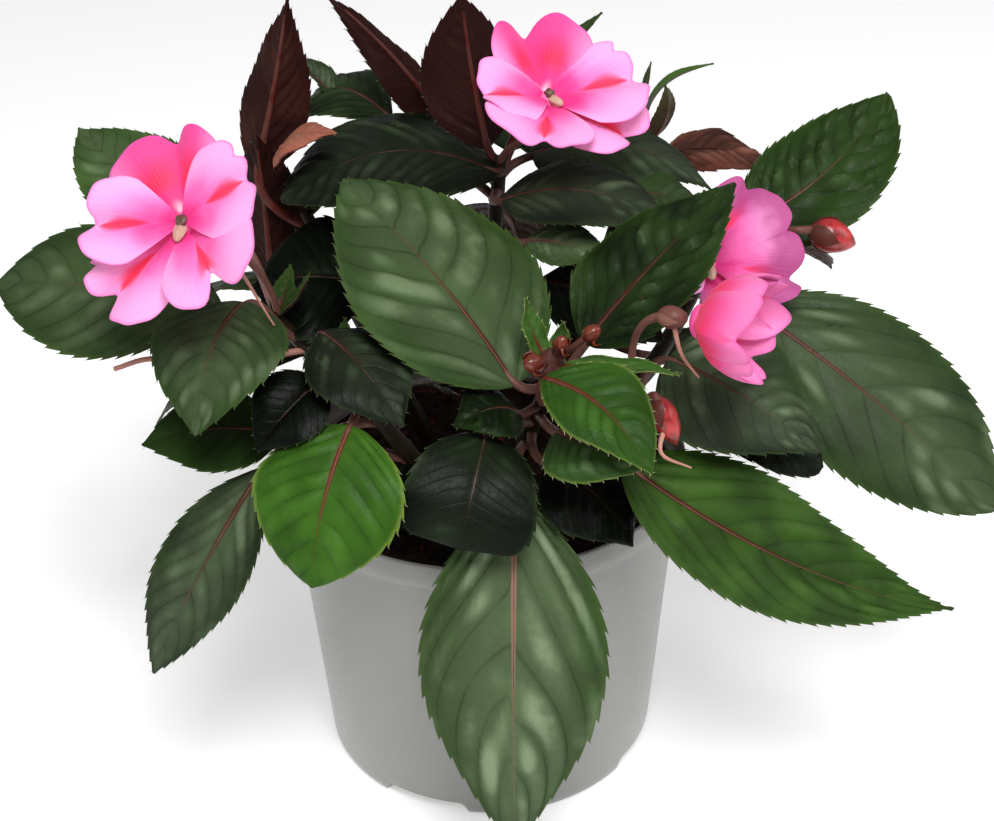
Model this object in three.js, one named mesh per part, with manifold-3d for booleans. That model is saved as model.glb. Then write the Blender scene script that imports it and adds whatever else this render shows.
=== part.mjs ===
// Potted New Guinea impatiens: a bushy plant with serrated leaves and pink blooms in a plastic nursery pot.
// Millimetres, +Z up. The origin is the middle of the pot's flat underside, on the standing surface.
// -Y is the side that the plant shows to the viewer.

import * as THREE from 'three';
import { mergeVertices } from 'three/addons/utils/BufferGeometryUtils.js';
import Module from 'manifold-3d';

const wasm = await Module();
wasm.setup();

// Pot
const POT_HEIGHT = 107;
const RIM_RADIUS = 65;
const RIM_BAND = 9.5;
const BASE_RADIUS = 55;
const WALL = 1.1;
const RIM_STEP = 2.2;
const CORNER = 2.2;
const ARCH_COUNT = 4;
const ARCH_FIRST = -114;
const ARCH_SPREAD = 29;
const ARCH_HEIGHT = 5;
const ARCH_DEPTH = 17;
const DRAIN_RADIUS = 4;
const RIM_DRAFT = 0.5;
const POT_SEGMENTS = 28;

// Soil
const SOIL_LEVEL = 97;
const SOIL_CLEARANCE = 0.3;
const SOIL_BUMP = 1.2;
const SOIL_GRID = 6;

// Stems and stalks
const STEM_RADIUS = 3.1;
const STEM_SIDES = 6;
const STEM_STEPS = 7;
const STEM_FOOT = 62;
const STEM_BURIED = 12;
const STEM_RISEN = 6;
const STEM_LEAN = 1.06;
const SEAT_GAP = 0.3;
const PETIOLE_RADIUS = 1.4;
const PETIOLE_SIDES = 4;
const PETIOLE_STEPS = 3;
const PEDICEL_RADIUS = 1.1;
const PEDICEL_STEPS = 6;
const SPUR_RADIUS = 0.8;
const SPUR_STEPS = 4;
const STALK_SIDES = 4;

// Blades of leaves. A blade wider than the first number of a pair has as many rows as the second says
const BLADE = 0.8;
const TIP_HALF_WIDTH = 0.35;
const TOOTH_LEAN = 1.72;
const BULGED_WIDTH = 52;
const BLADE_ROWS = [[45, 9], [41, 8], [30, 7], [15, 6], [0, 3]];

// Blooms
const PETAL = 0.7;
const EYE_RADIUS = 3.4;
const EYE_DEPTH = 5.6;
const CALYX_DEPTH = 8;
const CALYX_LENGTH = 9;
const CALYX_WIDTH = 6.5;

const rad = THREE.MathUtils.degToRad;
const vec = (p) => new THREE.Vector3(...p);
const UP = new THREE.Vector3(0, 0, 1);
const blend = (a, share, b, other) => a.clone().multiplyScalar(share).addScaledVector(b, other);

// Colours and gloss of the pieces
const FINISH = {
  pot: { color: 0xb4b7ba, roughness: 0.45, metalness: 0 },
  soil: { color: 0x4a3426, roughness: 0.95, metalness: 0 },
  stem: { color: 0x6b3a2c, roughness: 0.5, metalness: 0 },
  leaf: { color: 0x2f4a26, roughness: 0.4, metalness: 0 },
  bright: { color: 0x4c8a2c, roughness: 0.4, metalness: 0 },
  burgundy: { color: 0x4a201c, roughness: 0.45, metalness: 0 },
  petal: { color: 0xf57fcb, roughness: 0.6, metalness: 0 },
  stalk: { color: 0x7d4a36, roughness: 0.5, metalness: 0 },
  bud: { color: 0xc0392f, roughness: 0.5, metalness: 0 },
};

const part = new THREE.Group();

// Closed mesh to solid, with shared vertices merged and faces turned outwards
function solidOf(geometry) {
  const bare = geometry.clone();
  bare.deleteAttribute('normal');
  bare.deleteAttribute('uv');
  const merged = mergeVertices(bare, 1e-4);
  const triVerts = new Uint32Array(merged.index.array);
  const vertProperties = new Float32Array(merged.attributes.position.array);
  const solid = new wasm.Manifold(new wasm.Mesh({ numProp: 3, vertProperties, triVerts }));
  if (solid.volume() >= 0) {
    return solid;
  }
  for (let i = 0; i < triVerts.length; i += 3) {
    [triVerts[i], triVerts[i + 1]] = [triVerts[i + 1], triVerts[i]];
  }
  return new wasm.Manifold(new wasm.Mesh({ numProp: 3, vertProperties, triVerts }));
}

function geometryOf(solid) {
  const mesh = solid.getMesh();
  const geometry = new THREE.BufferGeometry();
  geometry.setAttribute('position', new THREE.BufferAttribute(mesh.vertProperties, 3));
  geometry.setIndex(new THREE.BufferAttribute(mesh.triVerts, 1));
  geometry.computeVertexNormals();
  return geometry;
}

// The largest body of a solid, so that no loose scrap of a cut stays
function mainBody(solid) {
  const bodies = solid.decompose();
  return bodies.reduce((best, body) => (body.volume() > best.volume() ? body : best));
}

function union(solids) {
  return solids.reduce((sum, solid) => sum.add(solid));
}

function addPiece(name, solid, finish) {
  const mesh = new THREE.Mesh(geometryOf(mainBody(solid)), new THREE.MeshStandardMaterial(FINISH[finish]));
  mesh.name = name;
  part.add(mesh);
}

// Round bodies

function lathe(profile, segments = POT_SEGMENTS) {
  const points = profile.map(([r, z]) => new THREE.Vector2(r, z));
  return solidOf(new THREE.LatheGeometry(points, segments).rotateX(Math.PI / 2));
}

// A wedge of a flat ring, between two radii and two heights, centred on an angle in degrees
function ringWedge(inner, outer, angle, spread, low, high) {
  const from = rad(angle - spread / 2);
  const to = rad(angle + spread / 2);
  const shape = new THREE.Shape();
  shape.absarc(0, 0, outer, from, to, false);
  shape.absarc(0, 0, inner, to, from, true);
  const options = { depth: high - low, bevelEnabled: false, curveSegments: 3 };
  return solidOf(new THREE.ExtrudeGeometry(shape, options).translate(0, 0, low));
}

function polygonShape(radius, sides) {
  const shape = new THREE.Shape();
  for (let i = 0; i < sides; i += 1) {
    const angle = (2 * Math.PI * i) / sides;
    const point = [radius * Math.cos(angle), radius * Math.sin(angle)];
    if (i === 0) {
      shape.moveTo(...point);
    } else {
      shape.lineTo(...point);
    }
  }
  shape.closePath();
  return shape;
}

function tube(path, radius, sides, steps) {
  const options = { steps, extrudePath: path, bevelEnabled: false };
  return solidOf(new THREE.ExtrudeGeometry(polygonShape(radius, sides), options));
}

// A pointed or round bud: an egg stretched along an axis, thickest at its lower third
function bud(centre, axis, length, width, sides = 6) {
  const profile = [[0, -0.5], [0.42, -0.32], [0.48, -0.02], [0.24, 0.34], [0, 0.5]];
  const points = profile.map(([r, z]) => new THREE.Vector2(r * width, z * length));
  const geometry = new THREE.LatheGeometry(points, sides);
  const latheAxis = new THREE.Vector3(0, 1, 0);
  geometry.applyQuaternion(new THREE.Quaternion().setFromUnitVectors(latheAxis, axis.clone().normalize()));
  return solidOf(geometry.translate(centre.x, centre.y, centre.z));
}

// Pot: a thin tapered wall with a stepped rim band, and foot arches with drain holes in its base

const wallRadius = (z) => BASE_RADIUS + ((RIM_RADIUS - RIM_STEP - BASE_RADIUS) * z) / (POT_HEIGHT - RIM_BAND);
const bandFoot = POT_HEIGHT - RIM_BAND;

function potInside(inset, floor, segments = POT_SEGMENTS) {
  const profile = [
    [0, floor],
    [BASE_RADIUS - CORNER - inset, floor],
    [wallRadius(CORNER) - inset, floor + CORNER],
    [wallRadius(bandFoot) - inset, bandFoot + WALL],
    [RIM_RADIUS - RIM_DRAFT - inset, bandFoot + 2 * WALL],
    [RIM_RADIUS - inset, POT_HEIGHT + 1],
    [0, POT_HEIGHT + 1],
  ];
  return lathe(profile, segments);
}

function archWedges(grow) {
  const wedges = [];
  for (let i = 0; i < ARCH_COUNT; i += 1) {
    const angle = ARCH_FIRST + (360 * i) / ARCH_COUNT;
    const inner = BASE_RADIUS - ARCH_DEPTH - grow;
    wedges.push(ringWedge(inner, BASE_RADIUS + 6, angle, ARCH_SPREAD + grow, -1, ARCH_HEIGHT + grow));
  }
  return union(wedges);
}

function drainHoles() {
  const holes = [];
  for (let i = 0; i < ARCH_COUNT; i += 1) {
    const angle = rad(ARCH_FIRST + (360 * i) / ARCH_COUNT);
    const reach = BASE_RADIUS - ARCH_DEPTH / 2 - DRAIN_RADIUS / 2;
    const geometry = new THREE.CylinderGeometry(DRAIN_RADIUS, DRAIN_RADIUS, 30, 8).rotateX(Math.PI / 2);
    holes.push(solidOf(geometry.translate(reach * Math.cos(angle), reach * Math.sin(angle), 0)));
  }
  return union(holes);
}

function buildPot() {
  const outside = lathe([
    [0, 0],
    [BASE_RADIUS - CORNER, 0],
    [BASE_RADIUS - CORNER * 0.3, CORNER * 0.3],
    [wallRadius(CORNER), CORNER],
    [wallRadius(bandFoot), bandFoot],
    [RIM_RADIUS - RIM_DRAFT, bandFoot + 0.6],
    [RIM_RADIUS, POT_HEIGHT - 0.7],
    [RIM_RADIUS - RIM_DRAFT, POT_HEIGHT],
    [0, POT_HEIGHT],
  ]);
  const hollow = potInside(WALL, WALL).subtract(archWedges(WALL));
  return outside.subtract(hollow).subtract(archWedges(0)).subtract(drainHoles());
}

// Soil: fills the pot to its level, with a lightly crumbled top and a plain hole for each stem

function soilTop(x, y) {
  const bumps = Math.sin(0.31 * x + 1.1) * Math.cos(0.27 * y) + 0.5 * Math.sin(0.53 * y + 0.4 * x);
  return SOIL_LEVEL + SOIL_BUMP * bumps * (1 - (x * x + y * y) / (RIM_RADIUS * RIM_RADIUS));
}

function buildSoil(stemTubes) {
  const inset = WALL + SOIL_CLEARANCE;
  const fill = potInside(inset, inset, POT_SEGMENTS / 2).subtract(archWedges(inset));
  const size = 2 * RIM_RADIUS + 10;
  const lid = new THREE.BoxGeometry(size, size, 30, SOIL_GRID, SOIL_GRID, 1).translate(0, 0, SOIL_LEVEL + 15);
  const position = lid.attributes.position;
  for (let i = 0; i < position.count; i += 1) {
    if (position.getZ(i) < SOIL_LEVEL + 1) {
      position.setZ(i, soilTop(position.getX(i), position.getY(i)));
    }
  }
  return fill.subtract(solidOf(lid)).subtract(stemTubes);
}

// Stems: each stands upright in the soil, then bows outwards to its shoot tip

const STEMS = {
  centre: { foot: [8, -14], bow: [14, -28, 130], tip: [20, -44, 158] },
  left: { foot: [-20, -6], bow: [-40, -9, 136], tip: [-63, -14, 166] },
  top: { foot: [0, 10], bow: [3, 20, 150], tip: [7, 35, 194] },
  right: { foot: [24, 2], bow: [54, 12, 130], tip: [76, 22, 170] },
  front_left: { foot: [-12, -20], bow: [-26, -32, 132], tip: [-42, -42, 164] },
  front_right: { foot: [22, -16], bow: [34, -32, 124], tip: [44, -44, 150] },
  back_left: { foot: [-18, 14], bow: [-38, 24, 140], tip: [-56, 36, 176] },
  back_right: { foot: [16, 20], bow: [36, 44, 136], tip: [55, 70, 184] },
};

function stemPath({ foot, bow, tip }) {
  const [x, y] = foot;
  const buried = [x, y, SOIL_LEVEL - STEM_BURIED];
  const risen = [x * STEM_LEAN, y * STEM_LEAN, SOIL_LEVEL + STEM_RISEN];
  const points = [[x, y, STEM_FOOT], buried, risen, bow, tip].map(vec);
  return new THREE.CatmullRomCurve3(points, false, 'catmullrom', 0.5);
}

const stemPaths = Object.fromEntries(Object.entries(STEMS).map(([name, stem]) => [name, stemPath(stem)]));
const stemTube = (name, grow = 0) => tube(stemPaths[name], STEM_RADIUS + grow, STEM_SIDES, STEM_STEPS);

// Leaves. A leaf's midrib is a quadratic curve from base to tip, which its arch lifts towards the upper
// face and its bend moves sideways. Its half width is s^rise (1 - s)^point, scaled to the width, and each
// half leaves the midrib at the fold angle and turns by the curl angle on its way to the margin.

const LEAF_DEFAULTS = { arch: 6, bend: 0, roll: 0, fold: 8, curl: -18, rise: 0.9, point: 1.15 };

function leafSurface(spec) {
  const { base, tip, width, arch, bend, roll, fold, curl, rise, point } = { ...LEAF_DEFAULTS, ...spec };
  const from = vec(base);
  const to = vec(tip);
  const chord = to.clone().sub(from);
  const along = chord.clone().normalize();
  const level = along.clone().cross(UP).normalize();
  const upper = level.clone().cross(along);
  const face = blend(upper, Math.cos(rad(roll)), level, Math.sin(rad(roll)));
  const side = blend(level, Math.cos(rad(roll)), upper, -Math.sin(rad(roll)));
  const crown = from.clone().addScaledVector(chord, 0.5).add(blend(face, 2 * arch, side, 2 * bend));
  const midrib = new THREE.QuadraticBezierCurve3(from, crown, to);
  const peak = rise / (rise + point);
  const most = peak ** rise * (1 - peak) ** point;
  const halfWidth = (s) => Math.max((0.5 * width * s ** rise * (1 - s) ** point) / most, TIP_HALF_WIDTH);
  return {
    midrib,
    at(s, v, extra = 0) {
      const tangent = midrib.getTangent(s);
      const across = side.clone().addScaledVector(tangent, -side.dot(tangent)).normalize();
      const normal = across.clone().cross(tangent);
      const reach = halfWidth(s) + extra;
      const start = rad(fold);
      const turn = rad(curl) || 1e-3;
      const angle = start + turn * Math.abs(v);
      const out = (reach * (Math.sin(angle) - Math.sin(start))) / turn;
      const lift = (reach * (Math.cos(start) - Math.cos(angle))) / turn;
      const sign = Math.sign(v);
      const spot = midrib.getPoint(s).addScaledVector(across, sign * out).addScaledVector(normal, lift);
      const facing = blend(normal, Math.cos(angle), across, -sign * Math.sin(angle));
      return { spot, facing };
    },
  };
}

// A blade keeps two skins that are split alike, a thickness apart, and joins them by a rim
class Blade {
  constructor(thickness) {
    this.half = thickness / 2;
    this.positions = [];
    this.triangles = [];
  }

  corner({ spot, facing }) {
    const index = this.positions.length / 3;
    const upper = spot.clone().addScaledVector(facing, this.half);
    const lower = spot.clone().addScaledVector(facing, -this.half);
    this.positions.push(...upper.toArray(), ...lower.toArray());
    return index;
  }

  face(a, b, c, flip = false) {
    const [p, q, r] = flip ? [a, c, b] : [a, b, c];
    this.triangles.push(p, q, r, p + 1, r + 1, q + 1);
  }

  rim(a, b, flip = false) {
    const [p, q] = flip ? [b, a] : [a, b];
    this.triangles.push(q, p, p + 1, q, p + 1, q + 1);
  }

  solid() {
    const geometry = new THREE.BufferGeometry();
    geometry.setAttribute('position', new THREE.BufferAttribute(new Float32Array(this.positions), 3));
    geometry.setIndex(this.triangles);
    return solidOf(geometry);
  }
}

// One tooth to each row of the margin, leaning towards the tip. A wide leaf has a row of corners half way
// from the midrib to the margin, so that its halves bulge; a narrow one has flat halves.
function leafBlade(surface, rows, tooth, bulged) {
  const blade = new Blade(BLADE);
  const base = blade.corner(surface.at(0, 0));
  const tip = blade.corner(surface.at(1, 0));
  const shares = Array.from({ length: rows - 1 }, (_, i) => (i + 1) / rows);
  const column = (v) => shares.map((s) => blade.corner(surface.at(s, v)));
  const ribs = column(0);
  for (const sign of [1, -1]) {
    const flip = sign < 0;
    const notch = column(sign);
    const inner = bulged ? column(0.5 * sign) : ribs;
    blade.face(base, notch[0], inner[0], flip);
    blade.rim(base, notch[0], flip);
    for (let i = 0; i < rows - 2; i += 1) {
      const point = blade.corner(surface.at((i + TOOTH_LEAN) / rows, sign, tooth));
      blade.face(inner[i], notch[i], point, flip);
      blade.face(inner[i], point, inner[i + 1], flip);
      blade.face(inner[i + 1], point, notch[i + 1], flip);
      blade.rim(notch[i], point, flip);
      blade.rim(point, notch[i + 1], flip);
    }
    const last = rows - 2;
    blade.face(inner[last], notch[last], tip, flip);
    blade.rim(notch[last], tip, flip);
    if (bulged) {
      blade.face(base, inner[0], ribs[0], flip);
      for (let i = 0; i < last; i += 1) {
        blade.face(ribs[i], inner[i], inner[i + 1], flip);
        blade.face(ribs[i], inner[i + 1], ribs[i + 1], flip);
      }
      blade.face(ribs[last], inner[last], tip, flip);
    }
  }
  return blade.solid();
}

const rowsFor = (width) => BLADE_ROWS.find(([from]) => width > from)[1];
const toothFor = (width) => 0.5 + width * 0.018;

function leafSolid(spec) {
  const bulged = spec.bulged ?? spec.width > BULGED_WIDTH;
  return leafBlade(leafSurface(spec), spec.rows ?? rowsFor(spec.width), toothFor(spec.width), bulged);
}

// Petiole: leaves the stem outwards and a little upwards, and runs on under the blade's midrib
const PETIOLE_OUTWARDS = 0.3;
const PETIOLE_UPWARDS = 0.12;
const PETIOLE_PULL = 0.45;
const PETIOLE_END = 0.07;

function petioleSolid(spec) {
  const surface = leafSurface(spec);
  const root = stemPaths[spec.stem].getPointAt(spec.at);
  const base = vec(spec.base);
  const heading = surface.midrib.getTangent(0);
  const pull = spec.pull ?? PETIOLE_PULL;
  const reach = base.distanceTo(root);
  const under = surface.at(PETIOLE_END, 0);
  const end = under.spot.clone().addScaledVector(under.facing, -0.5 * PETIOLE_RADIUS);
  const start = new THREE.Vector3().subVectors(base, root).setZ(0).setLength(reach * PETIOLE_OUTWARDS);
  start.z = reach * PETIOLE_UPWARDS;
  const path = new THREE.CubicBezierCurve3(
    root, root.clone().add(start), base.clone().addScaledVector(heading, -pull * reach), end);
  return tube(path, PETIOLE_RADIUS, PETIOLE_SIDES, PETIOLE_STEPS);
}

const leafWithPetiole = (spec) => leafSolid(spec).add(petioleSolid(spec));

// Each entry: name, stem and how far along it the petiole starts, base and tip of the blade, width,
// and what differs from the usual leaf. Blades listed under joined have grown together with the first.
const LEAVES = [
  { name: 'leaf_far_left', stem: 'left', at: 0.96, base: [-77, -12, 167], tip: [-147, -2, 172], width: 47,
    roll: -32, fold: 6, curl: -20, point: 0.85 },
  { name: 'leaf_upper_left', stem: 'left', at: 0.94, base: [-84, 18, 184.6], tip: [-128, 52, 199.6], width: 33,
    roll: -26, arch: 3, curl: -15, bend: -4 },
  { name: 'leaf_left_low', stem: 'left', at: 0.9, base: [-68, -30, 179], tip: [-80, -66, 156], width: 41,
    arch: 9, fold: 5, curl: -25, rise: 0.6, point: 0.95 },
  { name: 'leaf_left_under', stem: 'front_left', at: 0.74, base: [-59, -36, 137], tip: [-101, -40, 137],
    width: 33, roll: -18, arch: 5, fold: 10, curl: -20 },
  { name: 'leaf_hanging_left', stem: 'front_left', at: 0.56, base: [-65, -46, 132], tip: [-103, -58, 65],
    width: 27, roll: -62, arch: 8, fold: 6, curl: -15, bend: 1.5 },
  { name: 'leaf_bright_front_left', stem: 'front_left', at: 0.84, base: [-37, -60, 155], tip: [-49, -84, 116],
    width: 45, roll: -8, arch: 7, fold: 6, curl: -25, rise: 0.65, point: 0.8, finish: 'bright' },
  { name: 'leaf_folded_front_left', stem: 'front_left', at: 0.97, base: [-45, -48, 163], tip: [-64, -62, 148],
    width: 23, roll: -30, arch: 4, fold: 20, curl: -30 },
  { name: 'leaf_dark_mid_left', stem: 'back_left', at: 0.75, base: [-33, 5, 165], tip: [-71, 8, 164],
    width: 48, roll: -25, arch: 5, curl: -20 },
  { name: 'leaf_dark_centre_left', stem: 'front_left', at: 0.93, base: [-46, -36, 172], tip: [-22, -64, 156],
    width: 31, roll: 8, arch: 5, curl: -25 },
  { name: 'leaf_centre_big', stem: 'centre', at: 0.97, base: [10, -46, 158], tip: [-40, 5, 201], width: 62,
    roll: -3, arch: 3, curl: -12, bend: 1, rise: 0.65, point: 0.9 },
  { name: 'leaf_back_left_dark', stem: 'top', at: 0.97, base: [7, 29, 191], tip: [-61, 20, 187], width: 55,
    roll: -8, arch: 9, fold: 4, curl: -20, bend: 7, rise: 0.6, point: 0.68 },
  { name: 'leaf_arching_green', stem: 'top', at: 0.9, base: [-28, 66, 195], tip: [-62, 84, 187], width: 36,
    roll: -5, arch: 12, fold: 5, curl: -20, joined: [
      { base: [-47, 72, 199], tip: [-60, 80, 211], width: 12, arch: 1, fold: 30, curl: 0 },
    ] },
  { name: 'leaves_red_left', stem: 'back_left', at: 0.95, base: [-70, 38, 190], tip: [-57, 44, 244],
    width: 26, roll: -125, arch: 4, fold: 30, curl: 10, rise: 0.6, point: 1.3, finish: 'burgundy', joined: [
      { stem: 'back_left', at: 0.83, base: [-68, 33, 152], tip: [-69, 35, 203], width: 26, roll: 150,
        arch: 2, fold: 35, curl: 0 },
      { base: [-63, 30, 193], tip: [-43, 25, 207], width: 25, arch: 6, fold: 20, curl: -55 },
    ] },
  { name: 'leaf_red_mid', stem: 'top', at: 0.93, base: [-5, 61, 182], tip: [-47, 68, 236], width: 17,
    roll: 140, arch: -4, fold: 30, curl: 0, bend: -2, finish: 'burgundy' },
  { name: 'leaf_red_right', stem: 'top', at: 0.99, base: [3, 36, 196], tip: [-4, 46, 243], width: 33,
    roll: 160, arch: 4, fold: 25, curl: 0, finish: 'burgundy' },
  { name: 'leaf_top_right', stem: 'top', at: 0.95, base: [17, 44, 191], tip: [75, 42, 178], width: 42,
    roll: 12, arch: 9, fold: 5, curl: -25, bend: -2, rise: 0.5, joined: [
      { base: [42, 26, 185], tip: [71, 22, 180], width: 22, roll: 14, arch: 3, fold: 10, curl: -25 },
    ] },
  { name: 'leaf_mid_dark', stem: 'top', at: 0.92, base: [7, 13, 189.5], tip: [58, 3, 185.5], width: 31,
    roll: 14, arch: 8, curl: -25, rise: 0.6, point: 0.85 },
  { name: 'leaf_small_dark', stem: 'top', at: 0.8, base: [14, 4, 180], tip: [39, -6, 178.5], width: 18,
    roll: 20, arch: 2, fold: 10, curl: -20 },
  { name: 'leaf_centre_right', stem: 'centre', at: 0.95, base: [30, -36, 166], tip: [76, -4, 201], width: 41,
    roll: 3, arch: 4.5, fold: 10, curl: -12, bend: 2, rise: 0.64, point: 1.1 },
  { name: 'leaf_right_top', stem: 'right', at: 0.99, base: [80, 26, 170], tip: [132, 56, 204], width: 38,
    roll: 24, arch: 4, curl: -18, bend: 7.5, rise: 0.65, point: 0.85 },
  { name: 'leaf_right_big', stem: 'right', at: 0.9, base: [82, 8, 155], tip: [160, -28, 99], width: 50.5,
    roll: 42, arch: 8, fold: 7, curl: -14, bend: 0, rise: 0.74, point: 0.8 },
  { name: 'leaf_right_mid', stem: 'front_right', at: 0.97, base: [55, -31, 158], tip: [98, -52, 137],
    width: 44, roll: 30, arch: 5, rise: 0.55 },
  { name: 'leaf_right_under', stem: 'front_right', at: 0.7, base: [68, -33, 134.5], tip: [102, -39, 123.5],
    width: 25, roll: 15, arch: 5, curl: -20, rise: 0.7, point: 0.6 },
  { name: 'leaf_right_low', stem: 'front_right', at: 0.8, base: [40, -56, 138], tip: [142, -56, 82],
    width: 42, roll: 34, arch: 4, fold: 14, curl: -12, bend: 10, rise: 0.75, point: 1.45 },
  { name: 'leaf_young_bright', stem: 'centre', at: 0.89, base: [17, -60, 169], tip: [46, -86, 153], width: 27,
    roll: 15, fold: 16, curl: -20, bend: -2, pull: 0.1, finish: 'bright' },
  { name: 'leaf_young_round', stem: 'centre', at: 0.81, base: [21, -58, 150], tip: [45, -80, 151], width: 27,
    roll: 20, arch: 5, fold: 10, curl: -30, bend: 3, finish: 'bright' },
  { name: 'leaf_dark_below_centre', stem: 'centre', at: 0.71, base: [18, -48, 133], tip: [43, -66, 115],
    width: 34, roll: 10, curl: -25 },
  { name: 'leaf_fold_front', stem: 'centre', at: 0.77, base: [1, -56, 148], tip: [-7, -81, 126], width: 38,
    roll: -16, arch: 7, fold: 4, curl: -14, rise: 0.4, point: 0.16 },
  { name: 'leaf_front_big', stem: 'centre', at: 0.64, base: [9, -60, 132], tip: [7, -98, 26], width: 54,
    arch: 11, fold: 5, curl: -15, rise: 0.95, point: 1.3 },
  { name: 'leaf_inner_right', stem: 'top', at: 0.72, base: [18, 8, 164], tip: [56, -6, 149], width: 42,
    rows: 5, roll: 10, arch: 6 },
  { name: 'leaf_inner_top', stem: 'top', at: 0.86, base: [16, 38, 184], tip: [42, 29, 176], width: 29,
    roll: 5 },
  { name: 'leaf_inner_front', stem: 'centre', at: 0.42, base: [-3, -33, 116], tip: [-30, -46, 110], width: 28,
    roll: -14 },
  { name: 'leaf_under_centre', stem: 'centre', at: 0.87, base: [11, -46, 149], tip: [-8, -58, 152], width: 22,
    roll: -20, arch: 5, fold: 10, curl: -30 },
];

// Leaves of the side away from the viewer, in one body with the stem that carries them
const STEM_LEAVES = {
  left: [
    { at: 0.55, base: [-34, -4, 130], tip: [-4, 2, 122], width: 20, roll: -30, arch: 5 },
  ],
  back_left: [
    { at: 0.7, base: [-48, 52, 140], tip: [-108, 92, 112], width: 46, rows: 6, roll: 10, arch: 9, fold: 7 },
    { at: 0.8, base: [-24, 62, 154], tip: [-38, 134, 108], width: 50, rows: 6, arch: 12, fold: 6 },
    { at: 0.85, base: [-68, 60, 164], tip: [-124, 108, 156], width: 40, rows: 6, roll: 8, arch: 8 },
    { at: 0.55, base: [-56, 30, 128], tip: [-112, 34, 98], width: 38, rows: 6, roll: 4, arch: 10 },
  ],
  back_right: [
    { at: 0.66, base: [38, 58, 134], tip: [78, 122, 90], width: 48, rows: 6, roll: -10, arch: 10, fold: 6 },
    { at: 0.8, base: [70, 52, 154], tip: [124, 82, 128], width: 44, rows: 6, roll: -10, arch: 8 },
    { at: 0.9, base: [40, 70, 166], tip: [28, 132, 150], width: 42, rows: 6, roll: 6, arch: 10 },
    { at: 0.97, base: [60, 65, 179], tip: [98, 64, 175.5], width: 34, arch: 5, fold: 10, curl: -20 },
    { at: 0.52, base: [58, 34, 122], tip: [112, 52, 90], width: 38, rows: 6, roll: -6, arch: 10 },
    { base: [55, 70, 181], tip: [57, 70, 211], width: 10, arch: 1, fold: 25 },
    { base: [55, 70, 181], tip: [77, 66, 211.5], width: 8, arch: 8.5, fold: 20 },
    { base: [55, 70, 181], tip: [61, 62, 206], width: 10, arch: -2, bend: -3, fold: 20 },
  ],
  top: [
    { at: 0.78, base: [6, 38, 176], tip: [14, 62, 144], width: 36, rows: 5, arch: 4 },
    { at: 0.88, base: [10, 62, 184], tip: [30, 112, 172], width: 40, rows: 6, roll: -5, arch: 8 },
    { at: 0.96, base: [14, 44, 204], tip: [40, 56, 233], width: 11, arch: 2, fold: 25 },
  ],
};

// Small upright leaves about the tip of a stem: how many, their length, the bearing of the first, and the
// turn from each to the next
const TIP_LEAVES = {
  left: [2, 19, 0, 60],
  right: [2, 18, 110, 60],
  front_left: [1, 15, 75, 0],
  front_right: [2, 14, 120, 60],
  back_left: [2, 18, 10, 55],
};
const TIP_LEAF_SLENDERNESS = 0.42;
const TIP_LEAF_SLOPE = 52;
const TIP_LEAF_SHRINK = 0.12;
const TIP_LEAF_ROOT = 0.985;

function tipLeaves(name) {
  const [count, length, bearing, turn] = TIP_LEAVES[name];
  const tip = stemPaths[name].getPoint(TIP_LEAF_ROOT);
  return Array.from({ length: count }, (_, i) => {
    const way = rad(bearing + turn * i);
    const level = Math.cos(rad(TIP_LEAF_SLOPE));
    const rise = Math.sin(rad(TIP_LEAF_SLOPE));
    const reach = new THREE.Vector3(Math.cos(way) * level, Math.sin(way) * level, rise);
    const end = tip.clone().addScaledVector(reach, length * (1 - TIP_LEAF_SHRINK * i));
    const width = length * TIP_LEAF_SLENDERNESS;
    return leafSolid({ base: tip.toArray(), tip: end.toArray(), width, arch: -1.5, fold: 22 });
  });
}

// Blooms. Petals fan out from the eye: v runs across a petal from -1 to 1 and s outwards from the eye. The
// seam is the v of the crease between the petal's two lobes, and lobes holds how far each of them reaches.
// The petal's radius has a narrow notch at the seam and rounded corners. It leaves the bloom's plane at the
// tilt angle, turns by the bend angle, sinks at its seam and puffs up in its two lobes.

const PETAL_DEFAULTS = {
  spread: 46, tilt: 15, bend: -20, lift: 0, throat: 0, notch: 0.16, crease: 0.1, puff: 0.08,
  seam: 0, lobes: [1, 1],
};
// Places of a petal's rows of corners: shares of its lobes from the seam, and shares of its reach
const PETAL_ACROSS = [-1, -0.7, -0.15, 0, 0.15, 0.7, 1];
const PETAL_ALONG = [0.08, 0.55, 1];
const NOTCH_WIDTH = 0.13;
const CREASE_WIDTH = 0.22;
const ROUNDING = 0.36;
const ROUNDING_POWER = 3.2;
const FAN_AT_FOOT = 1.15;
const LOBE_JOIN = 0.15;
const STANDARD = { name: 'standard', length: 28, spread: 54, tilt: 16, bend: -22, lift: -1.6, notch: 0.12 };
const LOWER_RIGHT = { name: 'lower_right', length: 29, spread: 48, tilt: 8, bend: -16, lift: -1.4 };
const LOWER_LEFT = { name: 'lower_left', length: 29, spread: 46, tilt: 12, bend: -18, lift: -0.6 };
const UPPER_RIGHT = { name: 'upper_right', length: 27, spread: 47, tilt: 19, bend: -22, lift: 0.8 };
const UPPER_LEFT = { name: 'upper_left', length: 28, spread: 46, tilt: 17, bend: -22, lift: 1.4 };
const CUPPED = { length: 25, spread: 56, tilt: 12, bend: 82, throat: 1.5, notch: 0.06, puff: 0.1 };

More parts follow.
